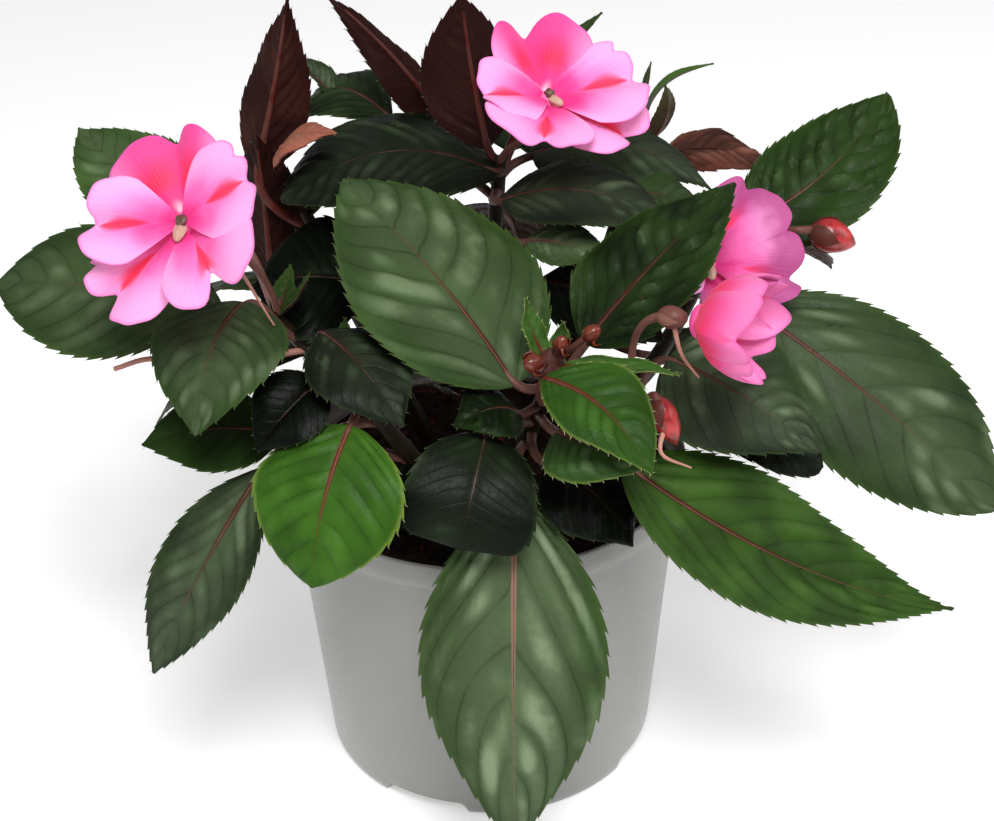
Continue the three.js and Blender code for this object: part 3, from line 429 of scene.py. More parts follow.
@dataclass(frozen=True)
class Leaf:
    """A leaf blade, and the stalk that carries it where it has one.

    Its midrib is a quadratic curve from base to tip, which arch lifts towards the upper face and bend moves
    sideways. Its half width is s^rise (1 - s)^point, scaled to the width. Each half leaves the midrib at the
    fold angle and turns by the curl angle on its way to the margin.
    """

    base: Point
    tip: Point
    width: float
    stem: str = ""
    at: float = 0.0
    arch: float = 6.0
    bend: float = 0.0
    roll: float = 0.0
    fold: float = 8.0
    curl: float = -18.0
    rise: float = 0.9
    point: float = 1.15
    pull: float = 0.45
    veins: float = 8.0
    sweep: float = 0.55
    pucker: float = 0.9
    bubbles: float = 0.35
    spacing: float = 4.8
    bristle: float = 1.0
    wave: float = 0.5
    uneven: float = 0.5
    drift: float = 1.0
    finish: Finish = Finish.LEAF
    bright: float = 0.4
    grey: float = 0.3
    red: float = 0.15

    TIP_HALF_WIDTH = 0.3
    ROWS_PER_TOOTH = 5
    COLUMN_WIDTH = 3.4
    GROOVE_DEPTH = 0.5
    GROOVE_WIDTH = 1.1
    BRISTLE_ROOT = 0.3
    BRISTLE_HALF = 0.1
    MARGIN_STRETCH = 1.06
    SAW_HEIGHT = 0.35
    SAW_SHARE = 0.012
    SAW_LEAN = 0.3
    WAVES = 2.4
    # Painted shade: a leaf's stalk, in the plant's shadowed middle, is darkened to this share of its leaf's
    # brightness.
    STALK_BRIGHTNESS = 0.32
    FIELDS = 64
    SWELLS = ((2.1, 1.3, 0.5), (3.7, 2.1, 0.35), (5.3, 2.9, 0.2))

    def frame(self) -> tuple[Array, Array, Array]:
        """The vector from base to tip, the way of the upper face and the way across."""
        chord = np.array(self.tip, float) - np.array(self.base, float)
        along = unit(chord)
        level = unit(np.cross(along, UP))
        upper = np.cross(level, along)
        turn = math.radians(self.roll)
        face = upper * math.cos(turn) + level * math.sin(turn)
        side = level * math.cos(turn) - upper * math.sin(turn)
        return chord, face, side

    def half_width(self, s: Array) -> Array:
        """Half the blade's width at a share of its length."""
        peak = self.rise / (self.rise + self.point)
        most = peak**self.rise * (1 - peak) ** self.point
        half = 0.5 * self.width * s**self.rise * (1 - s) ** self.point / most
        return np.maximum(half, self.TIP_HALF_WIDTH)

    def midrib(self, s: Array) -> tuple[Array, Array]:
        """Its middle line, a quadratic curve.

        Args:
            s: share of the length.

        Returns:
            Points of the midrib and its tangents there.
        """
        chord, face, side = self.frame()
        start, end = np.array(self.base, float), np.array(self.tip, float)
        crown = start + chord / 2 + 2 * self.arch * face + 2 * self.bend * side
        t = s[..., None]
        spot = (1 - t) ** 2 * start + 2 * t * (1 - t) * crown + t**2 * end
        return spot, unit(2 * (1 - t) * (crown - start) + 2 * t * (end - crown))

    def at_place(self, s: Array, v: Array, extra: Array | float = 0.0) -> tuple[Array, Array, Array]:
        """Points of the blade's middle sheet.

        Args:
            s: share of the length.
            v: share of the half width, negative on the left half.
            extra: how far the margin reaches beyond the half width.

        Returns:
            The points, the way that the upper face looks there, and the way outwards along the sheet.
        """
        spot, tangent = self.midrib(s)
        side = self.frame()[2]
        across = unit(side - tangent * (tangent @ side)[..., None])
        normal = np.cross(across, tangent)
        reach = self.half_width(s) + extra
        start = math.radians(self.fold)
        turn = math.radians(self.curl) or 1e-3
        angle = start + turn * np.abs(v)
        out = reach * (np.sin(angle) - math.sin(start)) / turn
        lift = reach * (math.cos(start) - np.cos(angle)) / turn
        sign = np.sign(v)
        place = spot + across * (sign * out)[..., None] + normal * lift[..., None]
        cosine, sine = np.cos(angle)[..., None], (sign * np.sin(angle))[..., None]
        return place, normal * cosine - across * sine, (across * cosine + normal * sine) * sign[..., None]

    def vein_count(self, s: Array, v: Array, seed: int) -> Array:
        """How many side veins lie between the base and a place.

        Each vein bends until it runs along the margin, and slow waves push it off its even place.

        Args:
            s: share of the length.
            v: share of the half width.
            seed: start of the waves' random turns.

        Returns:
            The count, whole on a vein.
        """
        outward = 0.985 * np.abs(v)
        forward = 0.5 * outward + 0.5 * (1 - np.sqrt(1 - outward**2))
        turns = np.random.default_rng(seed + 17).uniform(0, 7, (2, 3))[(v > 0).astype(int)]
        drift = 0.2 * np.sin(6 * s + turns[..., 0]) + 0.08 * np.sin(11 * s + 2 * outward + turns[..., 1])
        drift = drift + 0.07 * np.sin(5 * outward + 3 * s + turns[..., 2])
        return self.veins * (s - self.sweep * forward * (1 - s) ** 0.35) + self.drift * drift

    def relief(self, s: Array, v: Array, seed: int) -> Array:
        """Height of the puckers: each field between two veins is a pillow, with lobes across it.

        Args:
            s: share of the length.
            v: share of the half width.
            seed: start of the random heights of the fields.

        Returns:
            Heights in shares of the pucker, from about -1 to 1.
        """
        rng = np.random.default_rng(seed)
        heights = rng.uniform(0.3, 1.35, (2, self.FIELDS))
        shifts = rng.uniform(0, 1, (2, self.FIELDS))
        count = self.vein_count(s, v, seed)
        cell = np.clip(np.floor(count).astype(int) + 24, 0, self.FIELDS - 1)
        half = (v > 0).astype(int)
        outward = np.abs(v)
        pillow = np.abs(np.sin(np.pi * count)) ** 0.9 * heights[half, cell]
        lobes = 1 - self.bubbles * (0.5 + 0.5 * np.cos(2 * np.pi * (2.3 * outward + shifts[half, cell])))
        edge = smooth(outward, 0.02, 0.25) * (1 - 0.75 * smooth(outward, 0.5, 1.0))
        ends = smooth(s, 0.0, 0.12) * (1 - 0.7 * smooth(s, 0.75, 1.0))
        turns = shifts[:, 0] * 7
        slow = np.sin(5.1 * s * self.veins / 3 + 4 * v + turns[0])
        broken = 0.5 + 0.5 * slow * np.sin(7.3 * v + 5 * s + turns[1])
        pillow = pillow * (1 - 0.55 * broken)
        swell = np.zeros(s.shape)
        for (along, aside, size), turn in zip(self.SWELLS, rng.uniform(0, 7, 3)):
            swell += size * np.sin(2 * np.pi * along * s / 2 + 3 * turn) * np.sin(np.pi * aside * v + turn)
        uneven = self.uneven * swell * smooth(outward, 0, 0.4) * ends
        return (pillow * lobes * 1.7 - 0.6) * edge * ends + uneven

    def grid(self, teeth: int) -> tuple[Array, Array, Array]:
        """Rows for every tooth, and columns that lie closer at the margin.

        Args:
            teeth: how many teeth each margin has.

        Returns:
            The share of the length and of the half width at each place, and how far each row has come along
            its tooth.
        """
        count = teeth * self.ROWS_PER_TOOTH + 1
        columns = int(np.clip(round(self.width / self.COLUMN_WIDTH) + 2, 4, 15))
        half = np.concatenate([np.linspace(0, 0.95, columns), [1.0]])
        s, v = np.meshgrid(np.linspace(0, 1, count), np.concatenate([-half[:0:-1], half]), indexing="ij")
        return s, v, (np.arange(count) % self.ROWS_PER_TOOTH) / (self.ROWS_PER_TOOTH - 1)

    def surfaces(self, seed: int) -> list[Surface]:
        """The blade with its teeth and bristles.

        The margin's reach is a saw that rises along each tooth and drops just past its point.

        Args:
            seed: start of its random numbers.

        Returns:
            The closed surfaces.
        """
        rng = np.random.default_rng(seed)
        length = Path(self.midrib(np.linspace(0, 1, 30))[0]).length
        teeth = max(4, round(self.MARGIN_STRETCH * length / self.spacing))
        s, v, phase = self.grid(teeth)
        sizes = rng.uniform(0.75, 1.2, (2, teeth + 1))[:, np.arange(len(s)) // self.ROWS_PER_TOOTH]
        height = (self.SAW_HEIGHT + self.SAW_SHARE * self.width) * min(1.0, self.spacing / 4)
        ends = smooth(s[:, 0], 0.03, 0.12) * (1 - 0.5 * smooth(s[:, 0], 0.9, 1.0))
        extra, lean = np.zeros(s.shape), np.zeros(s.shape)
        extra[:, 0] = height * phase * sizes[0] * ends
        extra[:, -1] = height * phase * sizes[1] * ends
        lean[:, 0] = lean[:, -1] = self.SAW_LEAN * (1.0 / teeth) * phase * smooth(1 - s[:, 0], 0.0, 0.1)
        place, facing, outwards = self.at_place(np.clip(s + lean, 0, 1), v, extra)
        bumps = self.relief(s, v, seed)
        distance = np.abs(v) * self.half_width(s)
        groove = -self.GROOVE_DEPTH * bell(distance, self.GROOVE_WIDTH) * smooth(1 - s, 0.0, 0.2)
        turns = rng.uniform(0, 2 * np.pi, 2)[(v > 0).astype(int)]
        ripple = np.sin(2 * np.pi * self.WAVES * s + turns)
        waves = self.wave * np.abs(v) ** 2 * ripple * smooth(s, 0.05, 0.25)
        level = self.pucker * bumps + groove + waves * (1 - 0.4 * smooth(s, 0.8, 1))
        middle = place + facing * level[..., None]
        normal = unit(np.cross(np.gradient(middle, axis=1), np.gradient(middle, axis=0)))
        normal *= np.sign(np.sum(normal * facing, axis=-1, keepdims=True))
        thickness = 0.5 * LEAF_THICKNESS * (1 - 0.45 * smooth(np.abs(v), 0.8, 1.0))
        where = np.stack([s, np.abs(v), self.vein_count(s, v, seed), distance], axis=-1)
        # The relief as the finish reads it: painted light and painted sheen on the crests, painted shade in
        # the hollows.
        shown = 0.5 + 0.5 * bumps * min(1.0, 0.25 + self.pucker)
        tone = np.stack([np.full(s.shape, x) for x in (self.bright, self.grey, self.red)] + [shown], axis=-1)
        blade = two_skins(middle, normal, thickness, self.finish, where, tone)
        return [blade, self.bristles(middle, normal, outwards, phase == 1.0, rng)]

    def bristles(self, middle: Array, normal: Array, outwards: Array, peaks: Array,
                 rng: np.random.Generator) -> Surface:
        """A thin three-sided spike on the point of each tooth, which leans towards the leaf's tip.

        Args:
            middle: grid of the blade's middle points.
            normal: the way its upper face looks.
            outwards: the way outwards along the sheet.
            peaks: which rows of the grid hold the points of teeth.
            rng: source of its random numbers.

        Returns:
            All spikes of the blade as one closed surface.
        """
        forward = unit(np.gradient(middle, axis=0))
        foot = np.concatenate([middle[peaks, 0], middle[peaks, -1]])
        out = np.concatenate([outwards[peaks, 0], outwards[peaks, -1]])
        ahead = np.concatenate([forward[peaks, 0], forward[peaks, -1]])
        face = np.concatenate([normal[peaks, 0], normal[peaks, -1]])
        count = len(foot)
        lean = rng.uniform(0.5, 1.1, (count, 1))
        reach = self.bristle * rng.uniform(0.6, 1.2, (count, 1))
        way = unit(out + lean * ahead + rng.uniform(-0.15, 0.35, (count, 1)) * face)
        inside = foot - self.BRISTLE_ROOT * out
        up, aside = self.BRISTLE_HALF * face, 1.6 * self.BRISTLE_HALF * ahead
        corners = [inside + up, inside - up + aside, inside - up - aside, foot + way * reach]
        points = np.stack(corners, axis=1).reshape(-1, 3)
        base = 4 * np.arange(count)[:, None]
        faces = np.concatenate([base + np.array(f) for f in ((0, 1, 3), (1, 2, 3), (2, 0, 3), (2, 1, 0))])
        total = len(points)
        return Surface(points, [faces], self.finish, full(total, (0.5, 2.0, 0.5, 20.0)),
                       full(total, (self.bright, self.grey, self.red, 0.5)), np.zeros(total))

    def stalk(self, root: Array | None) -> Surface:
        """The stalk from the stem and the raised midrib that it becomes under the blade.

        Args:
            root: the point of the stem that it leaves, or None for a blade that starts at its base.

        Returns:
            One tapering tube.
        """
        s = np.linspace(0.02 if root is None else 0.07, 0.9, 26)
        spot, facing, _ = self.at_place(s, np.zeros(s.shape))
        stout = 1.0 if root is not None else min(1.0, self.width / 30)
        radii = (0.95 * (1 - s) ** 0.8 + 0.2) * stout
        keel = spot - facing * (0.35 + 0.75 * radii)[:, None]
        if root is not None:
            base = np.array(self.base, float)
            reach = float(np.linalg.norm(base - root))
            start = base - root
            start[2] = 0
            start = unit(start) * reach * 0.3
            start[2] = reach * 0.12
            heading = self.midrib(np.zeros(1))[1][0]
            path = Path.cubic(root, root + start, base - heading * self.pull * reach, keel[0])
            share = np.linspace(0, 1, 18)[:-1]
            keel = np.vstack([path.at(share), keel])
            radii = np.concatenate([PETIOLE_RADIUS * (1.15 - 0.25 * share), radii])
        # Painted shade: the stalk is darker than its leaf.
        skin = Skin(Finish.STALK, self.STALK_BRIGHTNESS * self.bright, self.grey, self.red)
        return tube(keel, radii, skin)


# Stems


@dataclass(frozen=True)
class Tuft:
    """The small upright leaves about a shoot's tip, each a little shorter than the one before it."""

    count: int
    length: float
    bearing: float
    turn: float = 60.0


@dataclass(frozen=True)
class Stem:
    """A fleshy shoot that stands upright in the soil, then bows outwards to its tip."""

    foot: tuple[float, float]
    bow: Point
    tip: Point
    tuft: Tuft | None = None

    RINGS = 70
    SIDES = 16
    JOINTS = 4.0
    LEAN = 1.06
    TUFT_SHARE = 0.985
    TUFT_SLOPE = math.radians(52)
    SKIN = Skin(Finish.STEM, 0.3, 0.2, 0.4)

    def path(self) -> Path:
        """Its middle line: upright in the soil, then outwards by the bow to the tip."""
        x, y = self.foot
        above = (x * self.LEAN, y * self.LEAN, SOIL_LEVEL + 6)
        return Path.through([(x, y, STEM_FOOT), (x, y, SOIL_LEVEL - 12), above, self.bow, self.tip], 0.0)

    def surface(self) -> Surface:
        """A tube that swells a little at each joint and tapers towards the tip."""
        share = np.linspace(0, 1, self.RINGS)
        joints = 0.22 * bell((share * self.JOINTS) % 1 - 0.5, 0.12)
        radii = STEM_RADIUS * (1.0 - 0.25 * share**2) * (0.93 + joints * 0.5)
        return tube(self.path().at(share), radii, self.SKIN, self.SIDES)

    def young_leaves(self) -> list[Leaf]:
        """The leaves of its tuft: each turns on from the one before it and is a little shorter."""
        tip = self.path().at(self.TUFT_SHARE)
        leaves = []
        for i in range(self.tuft.count if self.tuft else 0):
            way = math.radians(self.tuft.bearing + self.tuft.turn * i)
            level, length = math.cos(self.TUFT_SLOPE), self.tuft.length
            reach = np.array([math.cos(way) * level, math.sin(way) * level, math.sin(self.TUFT_SLOPE)])
            end = tip + reach * length * (1 - 0.12 * i)
            leaves.append(Leaf(
                tuple(tip), tuple(end), 0.42 * length, arch=-1.5, fold=22, veins=6, pucker=0.25, spacing=2.2,
                bristle=0.7, wave=0.2, bright=0.6, grey=0.1, red=0.4))
        return leaves


STEMS = {
    "centre": Stem((8, -14), (14, -28, 130), (20, -44, 158)),
    "left": Stem((-20, -6), (-40, -9, 136), (-63, -14, 166), Tuft(2, 19, 0)),
    "top": Stem((0, 10), (3, 20, 150), (7, 35, 194)),
    "right": Stem((24, 2), (54, 12, 130), (76, 22, 170), Tuft(2, 18, 110)),
    "front_left": Stem((-12, -20), (-26, -32, 132), (-42, -42, 164), Tuft(1, 15, 75)),
    "front_right": Stem((22, -16), (34, -32, 124), (44, -44, 150), Tuft(2, 14, 120)),
    "back_left": Stem((-18, 14), (-38, 24, 140), (-56, 36, 176), Tuft(2, 18, 10, 55)),
    "back_right": Stem((16, 20), (36, 44, 136), (55, 70, 184)),
}
STEM_PATHS = {name: stem.path() for name, stem in STEMS.items()}
DRIED_STALK = [(-80, -34, 160), (-96, -38, 165), (-106, -40, 163)]
DRIED_SKIN = Skin(Finish.STALK, 0.5, 0.4, 0.0)


# The leaves, by the node that each stands for. A list holds blades that have grown together

NARROW = {"veins": 7, "pucker": 0.4, "bubbles": 0.2, "spacing": 3.4, "wave": 0.3}
GLOSSY_BUBBLES = {"pucker": 1.5, "bubbles": 0.75, "veins": 8.5}
RED = {"finish": Finish.BURGUNDY, "veins": 9, "pucker": 0.5, "bubbles": 0.15, "spacing": 4.0, "red": 1.0}

# A leaf's bright number is partly its own tone and partly painted shade: the leaves that lie in the plant's
# shadowed middle are made near black, some with their midribs hidden.
LEAVES: dict[str, list[Leaf]] = {
    "leaf_far_left": [Leaf(
        (-77, -12, 167), (-147, -2, 172), 47, "left", 0.96, roll=-32, fold=6, curl=-20, point=0.85,
        pucker=0.3, bright=0.42, grey=0.5, drift=0.6)],
    "leaf_upper_left": [Leaf(
        (-84, 18, 184.6), (-128, 52, 199.6), 33, "left", 0.94, roll=-26, arch=3, curl=-15, bend=-4,
        pucker=0.35, spacing=3.6, bright=0.6, grey=0.65)],
    "leaf_left_low": [Leaf(
        (-68, -30, 179), (-80, -66, 156), 41, "left", 0.9, arch=9, fold=5, curl=-25, rise=0.6, bubbles=0.5,
        bright=0.36, grey=0.5, point=0.95, drift=1.6)],
    "leaf_left_under": [Leaf(
        (-59, -36, 137), (-101, -40, 137), 33, "front_left", 0.74, roll=-18, arch=5, fold=10, curl=-20,
        pucker=0.4, bright=0.34, grey=0.0)],
    "leaf_hanging_left": [Leaf(
        (-65, -46, 132), (-103, -58, 65), 27, "front_left", 0.56, roll=-62, arch=8, fold=6, curl=-15,
        bend=1.5, pucker=0.2, bubbles=0.2, bright=0.22, grey=0.7, sweep=0.6, veins=7)],
    "leaf_bright_front_left": [Leaf(
        (-37, -60, 155), (-49, -84, 116), 45, "front_left", 0.84, roll=-8, arch=7, fold=6, curl=-25,
        finish=Finish.YOUNG, bubbles=0.15, veins=7, bright=0.68, grey=0.03, red=0.6, rise=0.65, point=0.8)],
    "leaf_folded_front_left": [Leaf(
        (-45, -48, 163), (-64, -62, 148), 23, "front_left", 0.97, roll=-30, arch=4, fold=20, curl=-30,
        pucker=0.3, spacing=3.6, bright=0.0, grey=0.0, red=-1.0)],
    "leaf_dark_mid_left": [Leaf(
        (-33, 5, 165), (-71, 8, 164), 48, "back_left", 0.75, roll=-25, arch=5, curl=-20, pucker=0.6,
        bright=0.0, grey=0.0, red=-0.5)],
    "leaf_dark_centre_left": [Leaf(
        (-46, -36, 172), (-22, -64, 156), 31, "front_left", 0.93, roll=8, arch=5, curl=-25, spacing=3.6,
        pucker=0.35, uneven=1.2, bright=0.02, grey=0.2, bristle=1.2)],
    "leaf_centre_big": [Leaf(
        (10, -46, 158), (-40, 5, 201), 62, "centre", 0.97, roll=-3, arch=3, curl=-12, bend=1, rise=0.65,
        point=0.9, pucker=1.1, bubbles=0.3, veins=7, spacing=4.2, bright=0.5, grey=0.6, red=0.35,
        drift=1.3)],
    "leaf_back_left_dark": [Leaf(
        (7, 29, 191), (-61, 20, 187), 55, "top", 0.97, roll=-8, arch=9, fold=4, curl=-20, bend=7, rise=0.6,
        point=0.68, pucker=0.6, veins=11, bright=0.04, grey=0.15)],
    "leaf_arching_green": [
        Leaf(
            (-28, 66, 195), (-62, 84, 187), 36, "top", 0.9, roll=-5, arch=12, fold=5, curl=-20, bright=0.2,
            grey=0.15),
        Leaf(
            (-47, 72, 199), (-60, 80, 211), 12, arch=1, fold=30, curl=0, bright=0.3, red=0.8, grey=0.5,
            **NARROW),
    ],
    "leaves_red_left": [
        Leaf(
            (-70, 38, 190), (-57, 44, 244), 26, "back_left", 0.95, roll=-125, arch=4, fold=30, curl=10,
            rise=0.6, point=1.3, bright=0.5, **RED),
        Leaf(
            (-68, 33, 152), (-69, 35, 203), 26, "back_left", 0.83, roll=150, arch=2, fold=35, curl=0,
            bright=0.15, **RED),
        Leaf((-63, 30, 193), (-43, 25, 207), 25, fold=20, curl=-55, bright=1.0, grey=0.9, **RED),
    ],
    "leaf_red_mid": [Leaf(
        (-5, 61, 182), (-47, 68, 236), 17, "top", 0.93, roll=140, arch=-4, fold=30, curl=0, bend=-2,
        bright=0.25, **RED)],
    "leaf_red_right": [Leaf(
        (3, 36, 196), (-4, 46, 243), 33, "top", 0.99, roll=160, arch=4, fold=25, curl=0, bright=0.3,
        **RED)],
    "leaf_top_right": [
        Leaf(
            (17, 44, 191), (75, 42, 178), 42, "top", 0.95, roll=12, arch=9, fold=5, curl=-25, bend=-2,
            rise=0.5, pucker=0.4, spacing=3.2, bright=0.12, grey=0.45),
        Leaf((42, 26, 185), (71, 22, 180), 22, roll=14, arch=3, fold=10, curl=-25, bright=0.35, **NARROW),
    ],
    "leaf_mid_dark": [Leaf(
        (7, 13, 189.5), (58, 3, 185.5), 31, "top", 0.92, roll=14, arch=8, curl=-25, rise=0.6, point=0.85,
        pucker=0.4, spacing=3.4, bright=0.04, grey=0.35, red=0.3)],
    "leaf_small_dark": [Leaf(
        (14, 4, 180), (39, -6, 178.5), 18, "top", 0.8, roll=20, arch=2, fold=10, curl=-20, bright=0.45,
        grey=0.9, **NARROW)],
    "leaf_centre_right": [Leaf(
        (30, -36, 166), (76, -4, 201), 41, "centre", 0.95, roll=3, arch=4.5, fold=10, curl=-12, bend=2,
        rise=0.64, point=1.1, bright=0.26, grey=0.08, red=0.35, **(GLOSSY_BUBBLES | {"pucker": 1.8}))],
    "leaf_right_top": [Leaf(
        (80, 26, 170), (132, 56, 204), 38, "right", 0.99, roll=24, arch=4, bend=7.5, rise=0.65, point=0.85,
        grey=0.1, **(GLOSSY_BUBBLES | {"pucker": 1.9}))],
    "leaf_right_big": [Leaf(
        (82, 8, 155), (160, -28, 99), 50.5, "right", 0.9, roll=42, arch=8, fold=7, curl=-14, rise=0.74,
        point=0.8, bright=0.34, grey=0.65, red=0.4, pucker=1.3, bubbles=0.6, veins=7)],
    "leaf_right_mid": [Leaf(
        (55, -31, 158), (98, -52, 137), 44, "front_right", 0.97, roll=30, arch=5, rise=0.55, bright=0.2,
        grey=0.65)],
    "leaf_right_under": [Leaf(
        (68, -33, 134.5), (102, -39, 123.5), 25, "front_right", 0.7, roll=15, arch=5, curl=-20, rise=0.7,
        point=0.6, bright=0.02, grey=0.1, red=0.4)],
    "leaf_right_low": [Leaf(
        (40, -56, 138), (142, -56, 82), 42, "front_right", 0.8, roll=34, arch=4, fold=14, curl=-12, bend=10,
        rise=0.75, point=1.45, pucker=0.8, bubbles=0.25, veins=7.5, bright=0.6, grey=0.05, red=0.5)],
    "leaf_young_bright": [Leaf(
        (17, -60, 169), (46, -86, 153), 27, "centre", 0.89, roll=15, fold=16, curl=-20, bend=-2, pull=0.1,
        finish=Finish.YOUNG, pucker=0.8, bubbles=0.2, spacing=3.0, bristle=1.1, bright=0.5, grey=0.05,
        red=0.6)],
    "leaf_young_round": [Leaf(
        (21, -58, 150), (45, -80, 151), 27, "centre", 0.81, roll=20, arch=5, fold=10, curl=-30, bend=3,
        finish=Finish.YOUNG, pucker=0.7, veins=7, spacing=3.0, bristle=1.3, grey=0.35, red=0.2)],
    "leaf_dark_below_centre": [Leaf(
        (18, -48, 133), (43, -66, 115), 34, "centre", 0.71, roll=10, curl=-25, bright=0.0, grey=0.0)],
    "leaf_fold_front": [Leaf(
        (1, -56, 148), (-7, -81, 126), 38, "centre", 0.77, roll=-16, arch=7, fold=4, curl=-14, rise=0.4,
        point=0.16, pucker=0.12, uneven=1.5, bright=0.04, grey=0.1, red=-1.0)],
    "leaf_front_big": [Leaf(
        (9, -60, 132), (7, -98, 26), 54, "centre", 0.64, arch=11, fold=5, curl=-15, rise=0.95, point=1.3,
        veins=5.5, sweep=0.75, bubbles=0.05, spacing=7, bright=0.46, grey=1.0, red=0.3)],
    # Painted shade: near-black leaves that fill the plant's shadowed inside.
    "leaf_inner_right": [Leaf((18, 8, 164), (56, -6, 149), 42, "top", 0.72, roll=10, bright=0.0, grey=0.0)],
    "leaf_inner_top": [Leaf((16, 38, 184), (42, 29, 176), 29, "top", 0.86, roll=5, bright=0.05, grey=0.0)],
    "leaf_inner_front": [Leaf(
        (-3, -33, 116), (-30, -46, 110), 28, "centre", 0.42, roll=-14, bright=0.0, grey=0.0)],
    "leaf_under_centre": [Leaf(
        (11, -46, 149), (-8, -58, 152), 22, "centre", 0.87, roll=-20, arch=5, fold=10, curl=-30, bright=0.1,
        grey=0.0)],
}

SHARP = {"veins": 6, "pucker": 0.2, "spacing": 2.6, "bristle": 0.8, "wave": 0.1, "bright": 0.5, "red": 0.4}

CARRIED: dict[str, list[Leaf]] = {
    "left": [Leaf((-34, -4, 130), (-4, 2, 122), 20, "left", 0.55, roll=-30, arch=5, bright=0.1, grey=0.1)],
    "back_left": [
        Leaf(
            (-48, 52, 140), (-108, 92, 112), 46, "back_left", 0.7, roll=10, arch=9, fold=7, bright=0.35,
            grey=0.35),
        Leaf((-24, 62, 154), (-38, 134, 108), 50, "back_left", 0.8, arch=12, fold=6, bright=0.45, grey=0.4),
        Leaf((-68, 60, 164), (-124, 108, 156), 40, "back_left", 0.85, roll=8, arch=8, bright=0.5, grey=0.2),
        Leaf((-56, 30, 128), (-112, 34, 98), 38, "back_left", 0.55, roll=4, arch=10, bright=0.25, grey=0.5),
    ],
    "back_right": [
        Leaf((38, 58, 134), (78, 122, 90), 48, "back_right", 0.66, roll=-10, arch=10, fold=6, grey=0.4),
        Leaf((70, 52, 154), (124, 82, 128), 44, "back_right", 0.8, roll=-10, arch=8, bright=0.35),
        Leaf(
            (40, 70, 166), (28, 132, 150), 42, "back_right", 0.9, roll=6, arch=10, bright=0.5,
            **GLOSSY_BUBBLES),
        Leaf(
            (60, 65, 179), (98, 64, 175.5), 34, "back_right", 0.97, arch=5, fold=10, curl=-20,
            finish=Finish.BURGUNDY, bright=0.55, grey=0.5, red=0.9),
        Leaf((58, 34, 122), (112, 52, 90), 38, "back_right", 0.52, roll=-6, arch=10, bright=0.25, grey=0.4),
        Leaf((55, 70, 181), (57, 70, 211), 10, arch=1, fold=25, **SHARP),
        Leaf((55, 70, 181), (77, 66, 211.5), 8, arch=8.5, fold=20, **(SHARP | {"bright": 0.9})),
        Leaf((55, 70, 181), (61, 62, 206), 10, arch=-2, bend=-3, fold=20, **(SHARP | {"bright": 0.9})),
    ],
    "top": [
        Leaf((6, 38, 176), (14, 62, 144), 36, "top", 0.78, arch=4, bright=0.1, grey=0.1),
        Leaf((10, 62, 184), (30, 112, 172), 40, "top", 0.88, roll=-5, arch=8),
        Leaf((14, 44, 204), (40, 56, 233), 11, "top", 0.96, arch=2, fold=25, **(SHARP | {"red": 0.9})),
    ],
}


# Blooms


